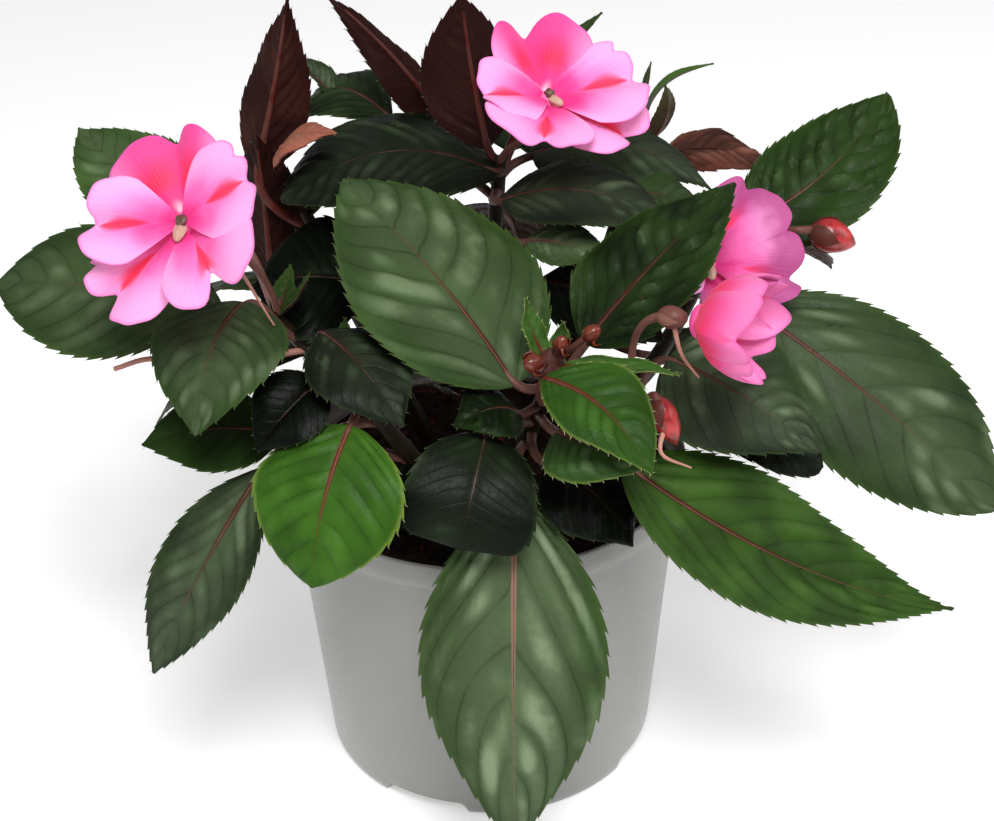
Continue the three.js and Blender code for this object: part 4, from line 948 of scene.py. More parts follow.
@dataclass(frozen=True)
class Petal:
    """A two-lobed petal that fans out from the eye.

    v runs across it from -1 to 1 and s outwards. The seam is the v of the crease between its two lobes, and
    lobes holds how far the one before the seam and the one after it reach. The radius has a narrow notch at
    the seam and rounded corners. The petal leaves the bloom's plane at the tilt angle and turns by the bend
    angle, sinks at its crease and puffs up in its lobes.
    """

    angle: float
    length: float
    spread: float = 46.0
    tilt: float = 15.0
    bend: float = -20.0
    lift: float = 0.0
    throat: float = 0.0
    notch: float = 0.16
    crease: float = 0.1
    puff: float = 0.08
    flame: float = 1.0
    deep: float = 0.0
    # How far the finish darkens the petal with painted shade, more towards its rim.
    shade: float = 0.0
    nick: tuple[float, float] = (0.0, 0.0)
    seam: float = 0.0
    lobes: tuple[float, float] = (1.0, 1.0)

    ROWS = 22
    COLUMNS = 49
    INNER_EDGE = 0.08
    NOTCH_WIDTH = 0.13
    CREASE_WIDTH = 0.22
    NICK_WIDTH = 0.06

    def off_seam(self, v: Array) -> Array:
        """How far across its lobe a place lies: -1 and 1 at the petal's sides, 0 at the seam."""
        off = v - self.seam
        return np.where(v > self.seam, off / (1 - self.seam), off / (1 + self.seam))

    def points(self, s: Array, v: Array, seed: int) -> tuple[Array, Array, Array]:
        """How far outwards, which way and how high above the bloom's plane each place of the petal lies.

        Args:
            s: share of the way outwards.
            v: share across, from -1 to 1.
            seed: start of the random turns of its waves.

        Returns:
            The distance from the eye's axis, the angle about it, and the height.
        """
        rng = np.random.default_rng(seed)
        turns = rng.uniform(0, 2 * np.pi, 3)
        fan = np.radians(self.angle + self.spread * v * (1.15 - 0.15 * s))
        off = self.off_seam(v)
        lobe = self.lobes[0] + (self.lobes[1] - self.lobes[0]) * smooth(v - self.seam, -0.15, 0.15)
        radius = self.length * lobe * (1 - self.notch * bell(off, self.NOTCH_WIDTH))
        radius = radius * (1 - 0.36 * np.abs(v) ** 3.2)
        radius = radius * (1 - self.nick[1] * bell(v - self.nick[0], self.NICK_WIDTH))
        radius = radius * (1 + 0.012 * np.sin(9 * v + turns[0]) + 0.008 * np.sin(17 * v + turns[1]))
        tilt, bend = math.radians(self.tilt), math.radians(self.bend)
        out = radius * (np.sin(tilt + bend * s) - math.sin(tilt)) / bend + self.throat
        rise = radius * (math.cos(tilt) - np.cos(tilt + bend * s)) / bend
        swell = self.puff * (1 - (2 * np.abs(off) - 1) ** 2) - self.crease * bell(off, self.CREASE_WIDTH)
        rise = rise + radius * s * swell
        rise = rise + 0.35 * s**2 * np.sin(6.5 * v + turns[2])
        return out, fan, self.lift + rise

    def surface(self, bloom: "Bloom", seed: int) -> Surface:
        """The petal as a thin closed sheet.

        Args:
            bloom: the bloom that it belongs to.
            seed: start of its random numbers.

        Returns:
            The closed surface.
        """
        outwards = np.linspace(self.INNER_EDGE, 1, self.ROWS)
        s, v = np.meshgrid(outwards, np.linspace(-1, 1, self.COLUMNS), indexing="ij")
        out, fan, rise = self.points(s, v, seed)
        facing, up, right = bloom.axes()
        middle = np.array(bloom.eye, float) + up * (out * np.cos(fan))[..., None]
        middle = middle + right * (out * np.sin(fan))[..., None] + facing * rise[..., None]
        normal = unit(np.cross(np.gradient(middle, axis=1), np.gradient(middle, axis=0)))
        normal *= np.sign(np.sum(normal * facing, axis=-1, keepdims=True).mean())
        place = np.stack([s, 0.5 + 0.5 * v, np.abs(self.off_seam(v)), 0 * s], axis=-1)
        tone = np.array([self.flame, self.deep, self.shade, 0.5])
        half = np.full(s.shape, 0.5 * PETAL_THICKNESS) * (1 - 0.4 * smooth(s, 0.85, 1.0))
        return two_skins(middle, normal, half, Finish.PETAL, place, tone)


STANDARD = Petal(0, 28, spread=54, tilt=16, bend=-22, lift=-1.6, notch=0.12, flame=0.25, deep=1.0)
LOWER_RIGHT = Petal(0, 29, spread=48, tilt=8, bend=-16, lift=-1.4)
LOWER_LEFT = Petal(0, 29, spread=46, tilt=12, bend=-18, lift=-0.6)
UPPER_RIGHT = Petal(0, 27, spread=47, tilt=19, bend=-22, lift=0.8)
UPPER_LEFT = Petal(0, 28, spread=46, tilt=17, bend=-22, lift=1.4)
CUPPED = Petal(0, 25, spread=56, tilt=12, bend=82, throat=1.5, notch=0.06, puff=0.1, flame=0.5, deep=0.3,
               shade=0.15)


@dataclass(frozen=True)
class Bloom:
    """A bloom: petals about an eye, and behind it a calyx, a thin hanging spur and the stalk to the stem."""

    name: str
    eye: Point
    looks: Point
    stem: str
    at: float
    spur: list[Point]
    petals: list[Petal]

    HEART = Skin(Finish.PETAL, 0.0, 0.6, 0.0, 0.2)
    COLUMN = Skin(Finish.EYE, 0.85, 0.5, 0.0)
    CAP = Skin(Finish.EYE, 0.05, 0.5, 0.0)
    CALYX = Skin(Finish.STALK, 0.3, 0.2, 0.75)
    SEPAL = Skin(Finish.STALK, 0.36, 0.6, 0.5)
    SEPAL_BEARINGS = (80.0, 265.0)
    STALK = Skin(Finish.STALK, 0.28, 0.2, 0.6)
    SPUR = Skin(Finish.STALK, 0.5, 0.3, 0.1)

    def axes(self) -> tuple[Array, Array, Array]:
        """The way the bloom faces, its own upwards, and its own right."""
        facing = unit(np.array(self.looks, float))
        up = unit(UP - facing * facing[2])
        return facing, up, np.cross(up, facing)

    def spot(self, out: float, up: float = 0.0) -> Array:
        """The point that lies so far before the eye, and so far above it in the bloom's plane."""
        facing, upwards, _ = self.axes()
        return np.array(self.eye, float) + facing * out + upwards * up

    def petal_surfaces(self) -> list[Surface]:
        """The petals, the eye that joins them, and the column and cap in it."""
        facing, up, _ = self.axes()
        throat = max(petal.throat for petal in self.petals)
        eye = Egg(tuple(self.eye), tuple(facing), EYE_DEPTH, 2 * (EYE_RADIUS + throat), blunt=0.5)
        column = Egg(tuple(self.spot(2.2, -2.6)), tuple(0.35 * facing - up), 7.0, 3.3, blunt=0.5)
        cap = Egg(tuple(self.spot(2.6, 0.2)), tuple(0.5 * facing - up), 3.6, 3.3, blunt=0.45)
        seed = int(abs(self.eye[0]) * 7 + 3)
        surfaces = [petal.surface(self, seed + i) for i, petal in enumerate(self.petals)]
        surfaces.append(eye.surface(self.HEART))
        surfaces.append(column.surface(self.COLUMN, 5, 0.22))
        surfaces.append(cap.surface(self.CAP, 6, 0.3))
        return surfaces

    def stalk_surfaces(self) -> list[Surface]:
        """The calyx with its sepals, the spur and the stalk."""
        middle = self.spot(-CALYX_DEPTH)
        calyx = Egg(tuple(middle), tuple(self.axes()[0]), CALYX_LENGTH, CALYX_WIDTH, blunt=0.6)
        root = STEM_PATHS[self.stem].at(self.at)
        reach = float(np.linalg.norm(root - middle))
        stalk = Path.cubic(root, root + UP * 0.35 * reach, self.spot(-CALYX_DEPTH - 0.35 * reach), middle)
        return [
            calyx.surface(self.CALYX, 5, 0.15),
            *(calyx.sepal(bearing, 0.8, 34, self.SEPAL, 1.0) for bearing in self.SEPAL_BEARINGS),
            flower_stalk(stalk, 0.25, 0.2, self.STALK),
            tapered(Path.through([tuple(middle), *self.spur]), SPUR_RADIUS, 0.75, self.SPUR),
        ]


BLOOMS = [
    Bloom("left", (-80, -42, 210), (-0.3, -0.75, 0.59), "left", 0.97, [(-70, -38, 198), (-58, -45, 179)], [
        replace(STANDARD, angle=-34, length=28.4, spread=58, tilt=15, seam=0.2, notch=0.18, lift=-1.3),
        replace(LOWER_RIGHT, angle=127, length=32, spread=54, tilt=26, bend=-12, lift=-1.1, notch=0.36,
                seam=0.16, lobes=(0.96, 0.93)),
        replace(LOWER_LEFT, angle=-147, length=34, spread=35, lift=-0.1, notch=0.14, seam=0.1,
                lobes=(0.99, 1.0), nick=(0.62, 0.12)),
        replace(UPPER_RIGHT, angle=55, length=27.6, spread=50, tilt=22, bend=-20, lift=2, notch=0.11,
                seam=-0.05, lobes=(0.98, 0.94), nick=(-0.35, 0.07)),
        replace(UPPER_LEFT, angle=-100, length=28.5, spread=43, tilt=27, bend=-16, lift=1, notch=0.08,
                seam=-0.1, lobes=(1.03, 0.94)),
    ]),
    Bloom("top", (21.5, 20, 218.4), (0.24, -0.3, 0.92), "top", 0.97, [(26, 30, 208), (36, 34, 198)], [
        replace(STANDARD, angle=25, length=30.6, spread=57, tilt=30, bend=-19, lift=-2.4, notch=0.16,
                seam=-0.12, lobes=(0.97, 1.02)),
        replace(LOWER_RIGHT, angle=150, length=31, spread=49, tilt=14, bend=-22, notch=0.17, seam=-0.12,
                lobes=(1.05, 0.94)),
        replace(LOWER_LEFT, angle=-132, length=31, spread=53, tilt=21, bend=-16, notch=0.28, seam=-0.1,
                lobes=(0.95, 1.05)),
        replace(UPPER_RIGHT, angle=112, length=31.5, spread=53, tilt=20.5, bend=-12.5, lift=-0.2, notch=0.04,
                seam=-0.19, lobes=(1.02, 0.97), nick=(-0.55, 0.1)),
        replace(UPPER_LEFT, angle=-72, length=25, spread=54, tilt=20, bend=-16, lift=0.9, notch=0.1,
                lobes=(1.0, 0.97)),
    ]),
    Bloom("right", (69.5, 2, 171), (0.12, -0.66, 0.74), "right", 0.9, [(74, 16, 162), (82, 16, 150)], [
        replace(STANDARD, angle=-35, length=15, spread=44, tilt=30),
        replace(LOWER_RIGHT, angle=166, length=24, spread=33, bend=-18, shade=0.95),
        replace(LOWER_LEFT, angle=-112, length=14, tilt=20),
        replace(UPPER_RIGHT, angle=48, length=31, spread=38, tilt=18, bend=-22, lift=1, notch=0.08,
                seam=-0.3, shade=0.95),
        replace(UPPER_LEFT, angle=101, length=30, spread=39, tilt=15, bend=-23, notch=0.14, seam=0.14,
                shade=0.95),
    ]),
    Bloom("cupped", (60.3, -60.5, 186), (0.88, -0.42, 0.05), "front_right", 0.98,
          [(55.5, -60.5, 176), (60.5, -62, 169)], [
        replace(CUPPED, angle=12),
        replace(CUPPED, angle=80, lift=0.8),
        replace(CUPPED, angle=152, length=23.5, bend=78, lift=-0.8),
        replace(CUPPED, angle=-134, length=23.5, lift=0.4),
        replace(CUPPED, angle=-60, length=25.5, spread=62, lift=-0.8, notch=0.03, seam=-0.25),
    ]),
]


# Buds


@dataclass(frozen=True)
class Bud:
    """A flower bud on a stalk that bends over on its way from the stem."""

    name: str
    egg: Egg
    stem: str
    at: float
    way: list[Point]
    sepals: list[tuple[float, float, float]]
    spur: list[Point] = field(default_factory=list)

    BODY = Skin(Finish.BUD, 0.6, 0.2, 0.9)
    SEPAL = Skin(Finish.STALK, 0.12, 0.3, 0.9)
    STALK = Skin(Finish.STALK, 0.24, 0.2, 0.7)
    SPUR = Skin(Finish.STALK, 0.7, 0.9, 0.0)

    def surfaces(self) -> list[Surface]:
        """The bud, its sepals, its stalk and its spur."""
        egg = self.egg
        foot = tuple(np.array(egg.centre, float) - unit(np.array(egg.axis)) * egg.length * 0.4)
        stalk = Path.through([tuple(STEM_PATHS[self.stem].at(self.at)), *self.way, foot])
        made = [egg.surface(self.BODY, 3, 0.18)]
        made += [egg.sepal(*sepal, self.SEPAL, 0.4) for sepal in self.sepals]
        made.append(flower_stalk(stalk, 0.3, 0.15, self.STALK))
        if self.spur:
            made.append(tapered(Path.through([egg.centre, *self.spur]), SPUR_RADIUS, 0.8, self.SPUR))
        return made


BUDS = [
    Bud("right", Egg((109, 10, 176), (0.94, -0.18, -0.29), 15, 10.5), "right", 0.95,
        [(88, 14, 176), (99, 9, 179)], [(200, 0.75, 50), (80, 0.6, 45), (320, 0.5, 45)]),
    Bud("front", Egg((52, -62, 155), (0.4, -0.27, -0.95), 15, 7.5), "front_right", 0.86,
        [(46, -54, 157), (49, -60, 162)], [(30, 0.5, 50), (190, 0.5, 50)], [(50, -69, 149), (58, -74, 147)]),
]


SLENDER = {"fold": 20, "finish": Finish.YOUNG, "spacing": 2.4, "red": 0.4}


@dataclass(frozen=True)
class Whorl:
    """The middle shoot's end: round flower buds and slender young leaves about a core."""

    core: Point = (20, -46, 165)
    buds: tuple[tuple[Point, float], ...] = (
        ((14.7, -56, 171.3), 5.6), ((22.8, -50, 174.2), 4.0), ((31.7, -46, 175), 4.6), ((26, -57, 166), 5.5))
    leaves: tuple[Leaf, ...] = (
        Leaf((20, -46, 164), (13, -39, 183), 8, arch=-2, veins=6, pucker=0.2, bright=0.6, **SLENDER),
        Leaf((20, -46, 164), (24, -39, 175), 7, arch=-2, veins=6, pucker=0.2, bright=0.5, **SLENDER),
        Leaf((21, -47, 165), (55, -65, 172), 9, arch=1, veins=7, pucker=0.3, bristle=1.2, bright=0.6,
             **SLENDER),
    )

    CORE = Skin(Finish.STALK, 0.0, 0.1, 0.5)
    BUD = Skin(Finish.BUD, 0.3, 0.8, 0.6)
    SEPAL = Skin(Finish.BUD, 0.15, 0.9, 0.7)
    STALK = Skin(Finish.STALK, 0.1, 0.1, 0.7)
    HOOK = Skin(Finish.BUD, 0.7, 0.7, 0.4)
    HOOK_RADIUS = 0.45
    HOOK_WAY = ((0.5, -3.5, -2.0), (2.0, -6.0, -0.5))
    RINGS = 12
    LEAF_SEED = 900

    def bud(self, centre: Point, width: float, bearing: float) -> list[Surface]:
        """A round bud with its two sepals, its short stalk and the hook of its spur.

        Args:
            centre: its middle.
            width: how wide it is.
            bearing: where its first sepal lies, in degrees.

        Returns:
            The closed surfaces.
        """
        core = np.array(self.core, float)
        out = np.array(centre, float) - core
        egg = Egg(centre, tuple(out), 1.3 * width, width, blunt=0.6)
        line = core + out * np.linspace(0, 1, self.RINGS)[:, None]
        hook = Path.through([centre, *(tuple(np.array(centre) + step) for step in self.HOOK_WAY)])
        return [
            egg.surface(self.BUD, 5, 0.12),
            egg.sepal(bearing, 0.85, 50, self.SEPAL, 0.5),
            egg.sepal(bearing + 180, 0.75, 50, self.SEPAL, 0.5),
            tube(line, np.full(self.RINGS, PEDICEL_RADIUS), self.STALK),
            tapered(hook, self.HOOK_RADIUS, 0.7, self.HOOK, sides=6, rings=self.RINGS),
        ]

    def surfaces(self) -> list[Surface]:
        """Everything of the whorl."""
        made = [Egg(self.core, (0, -0.2, 1), 12, 9).surface(self.CORE, 5, 0.3)]
        for i, (centre, width) in enumerate(self.buds):
            made += self.bud(centre, width, 40 + 70 * i)
        for i, leaf in enumerate(self.leaves):
            made += [*leaf.surfaces(self.LEAF_SEED + i), leaf.stalk(None)]
        return made


# Pot and soil


@dataclass(frozen=True)
class Pot:
    """A thin tapered nursery pot with a stepped rim band, and foot arches with drain holes in its base."""

    height: float = 107.0
    rim_radius: float = 65.0
    rim_band: float = 9.5
    base_radius: float = 55.0
    wall: float = 1.1
    rim_step: float = 2.2
    corner: float = 2.2
    arches: int = 4
    arch_first: float = -114.0
    arch_spread: float = 29.0
    arch_height: float = 5.0
    arch_depth: float = 17.0
    drain_radius: float = 4.0

    SIDES = 180
    SLOPE = 1.2
    WALL_LEVELS = (2.2, 4.5, 6.2, 8.4, 20, 40, 60, 80, 94)
    ARCH_TOP = 9
    RIM = ((-0.9, 0.35), (-0.45, 1.0), (-0.2, 4.0))
    LIP = ((0.0, -1.0), (-0.15, -0.3), (-0.5, 0.0), (-0.95, -0.25), (-1.1, -0.9))
    SKIN = Skin(Finish.POT)

    def wall_radius(self, z: float) -> float:
        """Outside radius of the tapered wall at a height."""
        taper = self.rim_radius - self.rim_step - self.base_radius
        return self.base_radius + taper * z / (self.height - self.rim_band)

    def arch_mask(self, bearing: Array, grow: float = 0.0) -> Array:
        """Where the foot arches are.

        Args:
            bearing: angle about the axis.
            grow: how much wider each half is, in degrees.

        Returns:
            1 within an arch and 0 between them, with a short slope.
        """
        turn = 360.0 / self.arches
        off = np.abs((np.degrees(bearing) - self.arch_first + turn / 2) % turn - turn / 2)
        half = self.arch_spread / 2 + grow
        return 1 - smooth(off, half - self.SLOPE, half + self.SLOPE)

    def rings(self, profile: list[tuple[float, float, bool]], inset: float) -> Array:
        """Turns a profile about the axis; its points that are marked rise where a foot arch is.

        Args:
            profile: radius, height and whether the point rises, from the axis outwards and on.
            inset: how far inside the outer skin the profile lies, which widens the arches.

        Returns:
            Rings by sides by 3.
        """
        bearing = 2 * np.pi * np.arange(self.SIDES) / self.SIDES
        mask = self.arch_mask(bearing, inset)
        radius = np.array([p[0] for p in profile])[:, None]
        level = np.array([p[1] for p in profile])[:, None]
        rises = np.array([p[2] for p in profile])[:, None]
        arch = np.maximum(level, self.arch_height + inset)
        height = np.where(rises, level + (arch - level) * mask, level)
        return np.stack([radius * np.cos(bearing), radius * np.sin(bearing), height], axis=-1)

    def inside(self, inset: float, floor: float) -> list[tuple[float, float, bool]]:
        """Profile of the inner skin from the axis to the foot of the rim.

        Args:
            inset: how far inside the outer skin it lies.
            floor: height of its floor.

        Returns:
            Radius, height and whether the point rises over a foot arch, for each point.
        """
        foot = self.height - self.rim_band
        arch = self.base_radius - self.arch_depth - inset
        low = self.base_radius - self.corner - inset
        up = self.wall_radius(self.corner) - inset
        return [
            (1.0, floor, False), (arch - 0.4, floor, False), (arch, floor, True), (low - 4, floor, True),
            (low, floor, True), (low + 0.7 * (up - low), floor + 0.3 * self.corner, True),
            (up, floor + self.corner, True), (self.wall_radius(8) - inset, 8, True),
            (self.wall_radius(30) - inset, 30, False), (self.wall_radius(60) - inset, 60, False),
            (self.wall_radius(foot) - inset, foot + self.wall, False),
        ]

    def profile(self) -> list[tuple[float, float, bool]]:
        """The whole outline: underside, wall, rim band, lip and inner skin."""
        foot = self.height - self.rim_band
        arch = self.base_radius - self.arch_depth
        low = self.base_radius - self.corner
        outside = [(1.0, 0, False), (arch - 0.4, 0, False), (arch, 0, True), (self.base_radius - 8, 0, True),
                   (low, 0, True), (self.base_radius - 0.66, 0.66, True)]
        outside += [(self.wall_radius(z), float(z), z < self.ARCH_TOP) for z in self.WALL_LEVELS]
        outside.append((self.wall_radius(foot - 0.6), foot - 0.6, False))
        outside.append((self.wall_radius(foot) + 0.3, foot - 0.1, False))
        outside += [(self.rim_radius + off, foot + up, False) for off, up in self.RIM]
        outside += [(self.rim_radius + off, self.height + up, False) for off, up in self.LIP]
        outside.append((self.rim_radius - 1.7, foot + 2.2, False))
        return outside + self.inside(self.wall, self.wall)[::-1]

    def surface(self) -> Surface:
        """The pot as one closed skin."""
        rings = self.rings(self.profile(), 0.0)
        inner = self.rings(self.inside(self.wall, self.wall)[::-1], self.wall)
        rings[-len(inner):] = inner
        return wrapped(rings, 0 * UP, self.wall * UP, self.SKIN)

    def drill(self, pot: bpy.types.Object) -> None:
        """Cuts a round drain hole through the base above each foot arch.

        Args:
            pot: the pot's mesh object.
        """
        reach = self.base_radius - self.arch_depth / 2 - self.drain_radius / 2
        turn = 2 * np.pi * np.arange(24) / 24
        circle = np.stack([np.cos(turn), np.sin(turn), 0 * turn], axis=-1) * self.drain_radius
        low, high = -4.0, 15.0
        surfaces = []
        for i in range(self.arches):
            bearing = math.radians(self.arch_first + 360 * i / self.arches)
            centre = np.array([reach * math.cos(bearing), reach * math.sin(bearing), 0.0])
            rings = np.stack([centre + circle + UP * z for z in (low, high)])
            surfaces.append(wrapped(rings, centre + UP * low, centre + UP * high, self.SKIN))
        cutter = mesh_object("drain_cutter", surfaces, {Finish.POT: pot.data.materials[0]})
        cut = pot.modifiers.new("drains", "BOOLEAN")
        cut.operation = "DIFFERENCE"
        cut.object = cutter
        cut.solver = "EXACT"
        apply_modifiers(pot)
        bpy.data.objects.remove(cutter)


@dataclass(frozen=True)
class Soil:
    """The peat plug in the pot, with a crumbled top and loose crumbs on it."""

    pot: Pot
    level: float = SOIL_LEVEL
    clearance: float = 0.3
    bump: float = 1.2
    crumbs: int = 420
    crumb_size: tuple[float, float] = (0.5, 1.7)
    grain: float = 0.25
    seed: int = 11

    RINGS = 40
    CORNERS = 12
    SKIN = Skin(Finish.SOIL, 0.4, 0.5, 0.0)

    def top(self, x: Array, y: Array) -> Array:
        """Height of the top: two crossed waves that die out at the wall."""
        waves = np.sin(0.31 * x + 1.1) * np.cos(0.27 * y) + 0.5 * np.sin(0.53 * y + 0.4 * x)
        return self.level + self.bump * waves * (1 - (x * x + y * y) / self.pot.rim_radius**2)

    def surface(self) -> Surface:
        """The plug: the pot's inner shape closed by the crumbled top."""
        pot = self.pot
        inset = pot.wall + self.clearance
        profile = pot.inside(inset, inset)[:-1]
        profile.append((pot.wall_radius(self.level) - inset, self.level, False))
        below = pot.rings(profile, inset)
        bearing = 2 * np.pi * np.arange(pot.SIDES) / pot.SIDES
        radius = np.linspace(pot.wall_radius(self.level) - inset - 0.4, 1.0, self.RINGS)[:, None]
        x, y = radius * np.cos(bearing), radius * np.sin(bearing)
        grains = np.random.default_rng(self.seed).normal(0, self.grain, x.shape)
        above = np.stack([x, y, self.top(x, y) + grains], axis=-1)
        return wrapped(np.concatenate([below, above]), inset * UP, self.level * UP, self.SKIN)

    def crumb_surface(self) -> Surface:
        """Loose crumbs: twenty-sided lumps of random size and stretch, half sunk in the top."""
        rng = np.random.default_rng(self.seed + 1)
        golden = (1 + 5**0.5) / 2
        shape = np.array([
            (-1, golden, 0), (1, golden, 0), (-1, -golden, 0), (1, -golden, 0), (0, -1, golden),
            (0, 1, golden), (0, -1, -golden), (0, 1, -golden), (golden, 0, -1), (golden, 0, 1),
            (-golden, 0, -1), (-golden, 0, 1)]) / 1.9
        sides = np.array([
            (0, 11, 5), (0, 5, 1), (0, 1, 7), (0, 7, 10), (0, 10, 11), (1, 5, 9), (5, 11, 4), (11, 10, 2),
            (10, 7, 6), (7, 1, 8), (3, 9, 4), (3, 4, 2), (3, 2, 6), (3, 6, 8), (3, 8, 9), (4, 9, 5),
            (2, 4, 11), (6, 2, 10), (8, 6, 7), (9, 8, 1)])
        radius = (self.pot.rim_radius - 5) * np.sqrt(rng.uniform(0, 1, self.crumbs))
        bearing = rng.uniform(0, 2 * np.pi, self.crumbs)
        x, y = radius * np.cos(bearing), radius * np.sin(bearing)
        size = rng.uniform(*self.crumb_size, (self.crumbs, 1, 1))
        size = size * rng.uniform(0.5, 1.5, (self.crumbs, 1, 3))
        lumps = shape[None] * size * rng.uniform(0.8, 1.2, (self.crumbs, self.CORNERS, 1))
        centre = np.stack([x, y, self.top(x, y) + 0.3], axis=-1)
        points = (lumps + centre[:, None]).reshape(-1, 3)
        faces = (sides[None] + self.CORNERS * np.arange(self.crumbs)[:, None, None]).reshape(-1, 3)
        tone = np.repeat(rng.uniform(0, 1, (self.crumbs, 4)), self.CORNERS, axis=0)
        place = full(len(points), (0, 0, 0, 0))
        return Surface(points, [faces], self.SKIN.finish, place, tone, np.zeros(len(points)))


# From surfaces to Blender's meshes


def apply_modifiers(piece: bpy.types.Object) -> None:
    """Replaces a piece's mesh by what its modifiers make of it."""
    shaped = piece.evaluated_get(bpy.context.evaluated_depsgraph_get())
    mesh = bpy.data.meshes.new_from_object(shaped)
    piece.modifiers.clear()
    piece.data = mesh


Finishes = dict[Finish, Material]


def mesh_object(name: str, surfaces: list[Surface], finishes: Finishes) -> bpy.types.Object:
    """Joins surfaces into one mesh object in metres, with an attribute for each thing that a finish reads.

    Args:
        name: the object's name.
        surfaces: its closed skins.
        finishes: the material of each finish.

    Returns:
        The new object, in the scene.
    """
    offsets = np.cumsum([0] + [len(s.points) for s in surfaces])
    used = list(dict.fromkeys(s.finish for s in surfaces))
    faces, slots = [], []
    for surface, offset in zip(surfaces, offsets):
        for face in surface.faces:
            faces.append(face + offset)
            slots.append(np.full(len(face), used.index(surface.finish)))
    corners = np.concatenate([face.ravel() for face in faces])
    sizes = np.concatenate([np.full(len(face), face.shape[1]) for face in faces])
    mesh = bpy.data.meshes.new(name)
    mesh.vertices.add(int(offsets[-1]))
    places = np.concatenate([s.points for s in surfaces]) * MM
    mesh.vertices.foreach_set("co", places.astype(np.float32).ravel())
    mesh.loops.add(len(corners))
    mesh.loops.foreach_set("vertex_index", corners.astype(np.int32))
    mesh.polygons.add(len(sizes))
    starts = np.concatenate([[0], np.cumsum(sizes)[:-1]])
    mesh.polygons.foreach_set("loop_start", starts.astype(np.int32))
    mesh.polygons.foreach_set("material_index", np.concatenate(slots).astype(np.int32))
    mesh.polygons.foreach_set("use_smooth", np.ones(len(sizes), bool))
    for label, kind, key in (("place", "FLOAT_COLOR", "color"), ("tone", "FLOAT_COLOR", "color"),
                             ("back", "FLOAT", "value")):
        layer = mesh.attributes.new(label, kind, "POINT")
        values = np.concatenate([getattr(s, label) for s in surfaces]).astype(np.float32).ravel()
        layer.data.foreach_set(key, values)
    mesh.update(calc_edges=True)
    mesh.validate()
    mesh.set_sharp_from_angle(angle=SHARP_ANGLE)
    for finish in used:
        mesh.materials.append(finishes[finish])
    piece = bpy.data.objects.new(name, mesh)
    bpy.context.scene.collection.objects.link(piece)
    return piece


# Materials


Socket = bpy.types.NodeSocket
Value = Socket | float
Ink = Socket | Colour

FINE_BUMP = 0.0003
CRUMB_BUMP = 0.0008


class Graph:
    """A node tree, with short calls for the nodes that the finishes use."""

    def __init__(self, tree: bpy.types.NodeTree) -> None:
        """Keeps the tree."""
        self.tree = tree

    def node(self, kind: str, **settings: object) -> bpy.types.Node:
        """Adds a node and sets its properties."""
        made = self.tree.nodes.new("ShaderNode" + kind)
        for label, value in settings.items():
            setattr(made, label, value)
        return made

    def feed(self, target: Socket, value: Value | Colour) -> None:
        """Links a socket to an input, or sets the input to a number or colour."""
        if isinstance(value, bpy.types.NodeSocket):
            self.tree.links.new(value, target)
        else:
            target.default_value = value

    def math(self, operation: str, first: Value, second: Value = 0.0, clamp: bool = False) -> Socket:
        """The result of a Math node."""
        made = self.node("Math", operation=operation, use_clamp=clamp)
        for target, value in zip(made.inputs, (first, second)):
            self.feed(target, value)
        return made.outputs[0]

    def plus(self, first: Value, second: Value) -> Socket:
        """The sum of two values."""
        return self.math("ADD", first, second)

    def minus(self, first: Value, second: Value) -> Socket:
        """The first value less the second."""
        return self.math("SUBTRACT", first, second)

    def times(self, first: Value, second: Value) -> Socket:
        """The product of two values."""
        return self.math("MULTIPLY", first, second)

    def sway(self, value: Value, mask: Socket, amount: float) -> Socket:
        """A value that a mask moves up and down: value + amount (mask - 0.5)."""
        return self.plus(value, self.times(self.minus(mask, 0.5), amount))

    def ramp(self, value: Value, low: float, high: float, start: float = 0.0, end: float = 1.0) -> Socket:
        """Goes smoothly from start, where the value is low, to end, where it is high."""
        made = self.node("MapRange", interpolation_type="SMOOTHSTEP")
        for target, number in zip(made.inputs, (value, low, high, start, end)):
            self.feed(target, number)
        return made.outputs[0]

    def mix(self, factor: Value, first: Ink, second: Ink) -> Socket:
        """The first colour, changed towards the second by a factor."""
        made = self.node("Mix", data_type="RGBA")
        self.feed(made.inputs[0], factor)
        self.feed(made.inputs[6], first)
        self.feed(made.inputs[7], second)
        return made.outputs[2]

    def over(self, colour: Ink, *layers: tuple[Value, Ink]) -> Socket:
        """Lays further colours over a colour in order, each as far as its mask says."""
        for mask, ink in layers:
            colour = self.mix(mask, colour, ink)
        return colour

    def noise(self, where: Socket, scale: Value, detail: float, roughness: float = 0.5) -> Socket:
        """A cloud of numbers about a half, with features one over scale metres across."""
        made = self.node("TexNoise")
        values = {"Vector": where, "Scale": scale, "Detail": detail, "Roughness": roughness}
        for label, value in values.items():
            self.feed(made.inputs[label], value)
        return made.outputs["Fac"]

    def here(self) -> Socket:
        """The place on the piece, in the object's own metres."""
        return self.node("TexCoord").outputs["Object"]

    def read(self, label: str) -> tuple[Socket, Socket, Socket, Socket]:
        """The four numbers of an attribute."""
        source = self.node("Attribute", attribute_name=label)
        parts = self.node("SeparateColor")
        self.feed(parts.inputs[0], source.outputs["Color"])
        return parts.outputs[0], parts.outputs[1], parts.outputs[2], source.outputs["Alpha"]

    def number(self, label: str) -> Socket:
        """A single number of an attribute."""
        return self.node("Attribute", attribute_name=label).outputs["Fac"]

    def bump(self, height: Socket, strength: float, depth: float = FINE_BUMP) -> Socket:
        """The normal of a surface that a height field presses in and out."""
        made = self.node("Bump")
        for label, value in (("Height", height), ("Strength", strength), ("Distance", depth)):
            self.feed(made.inputs[label], value)
        return made.outputs[0]


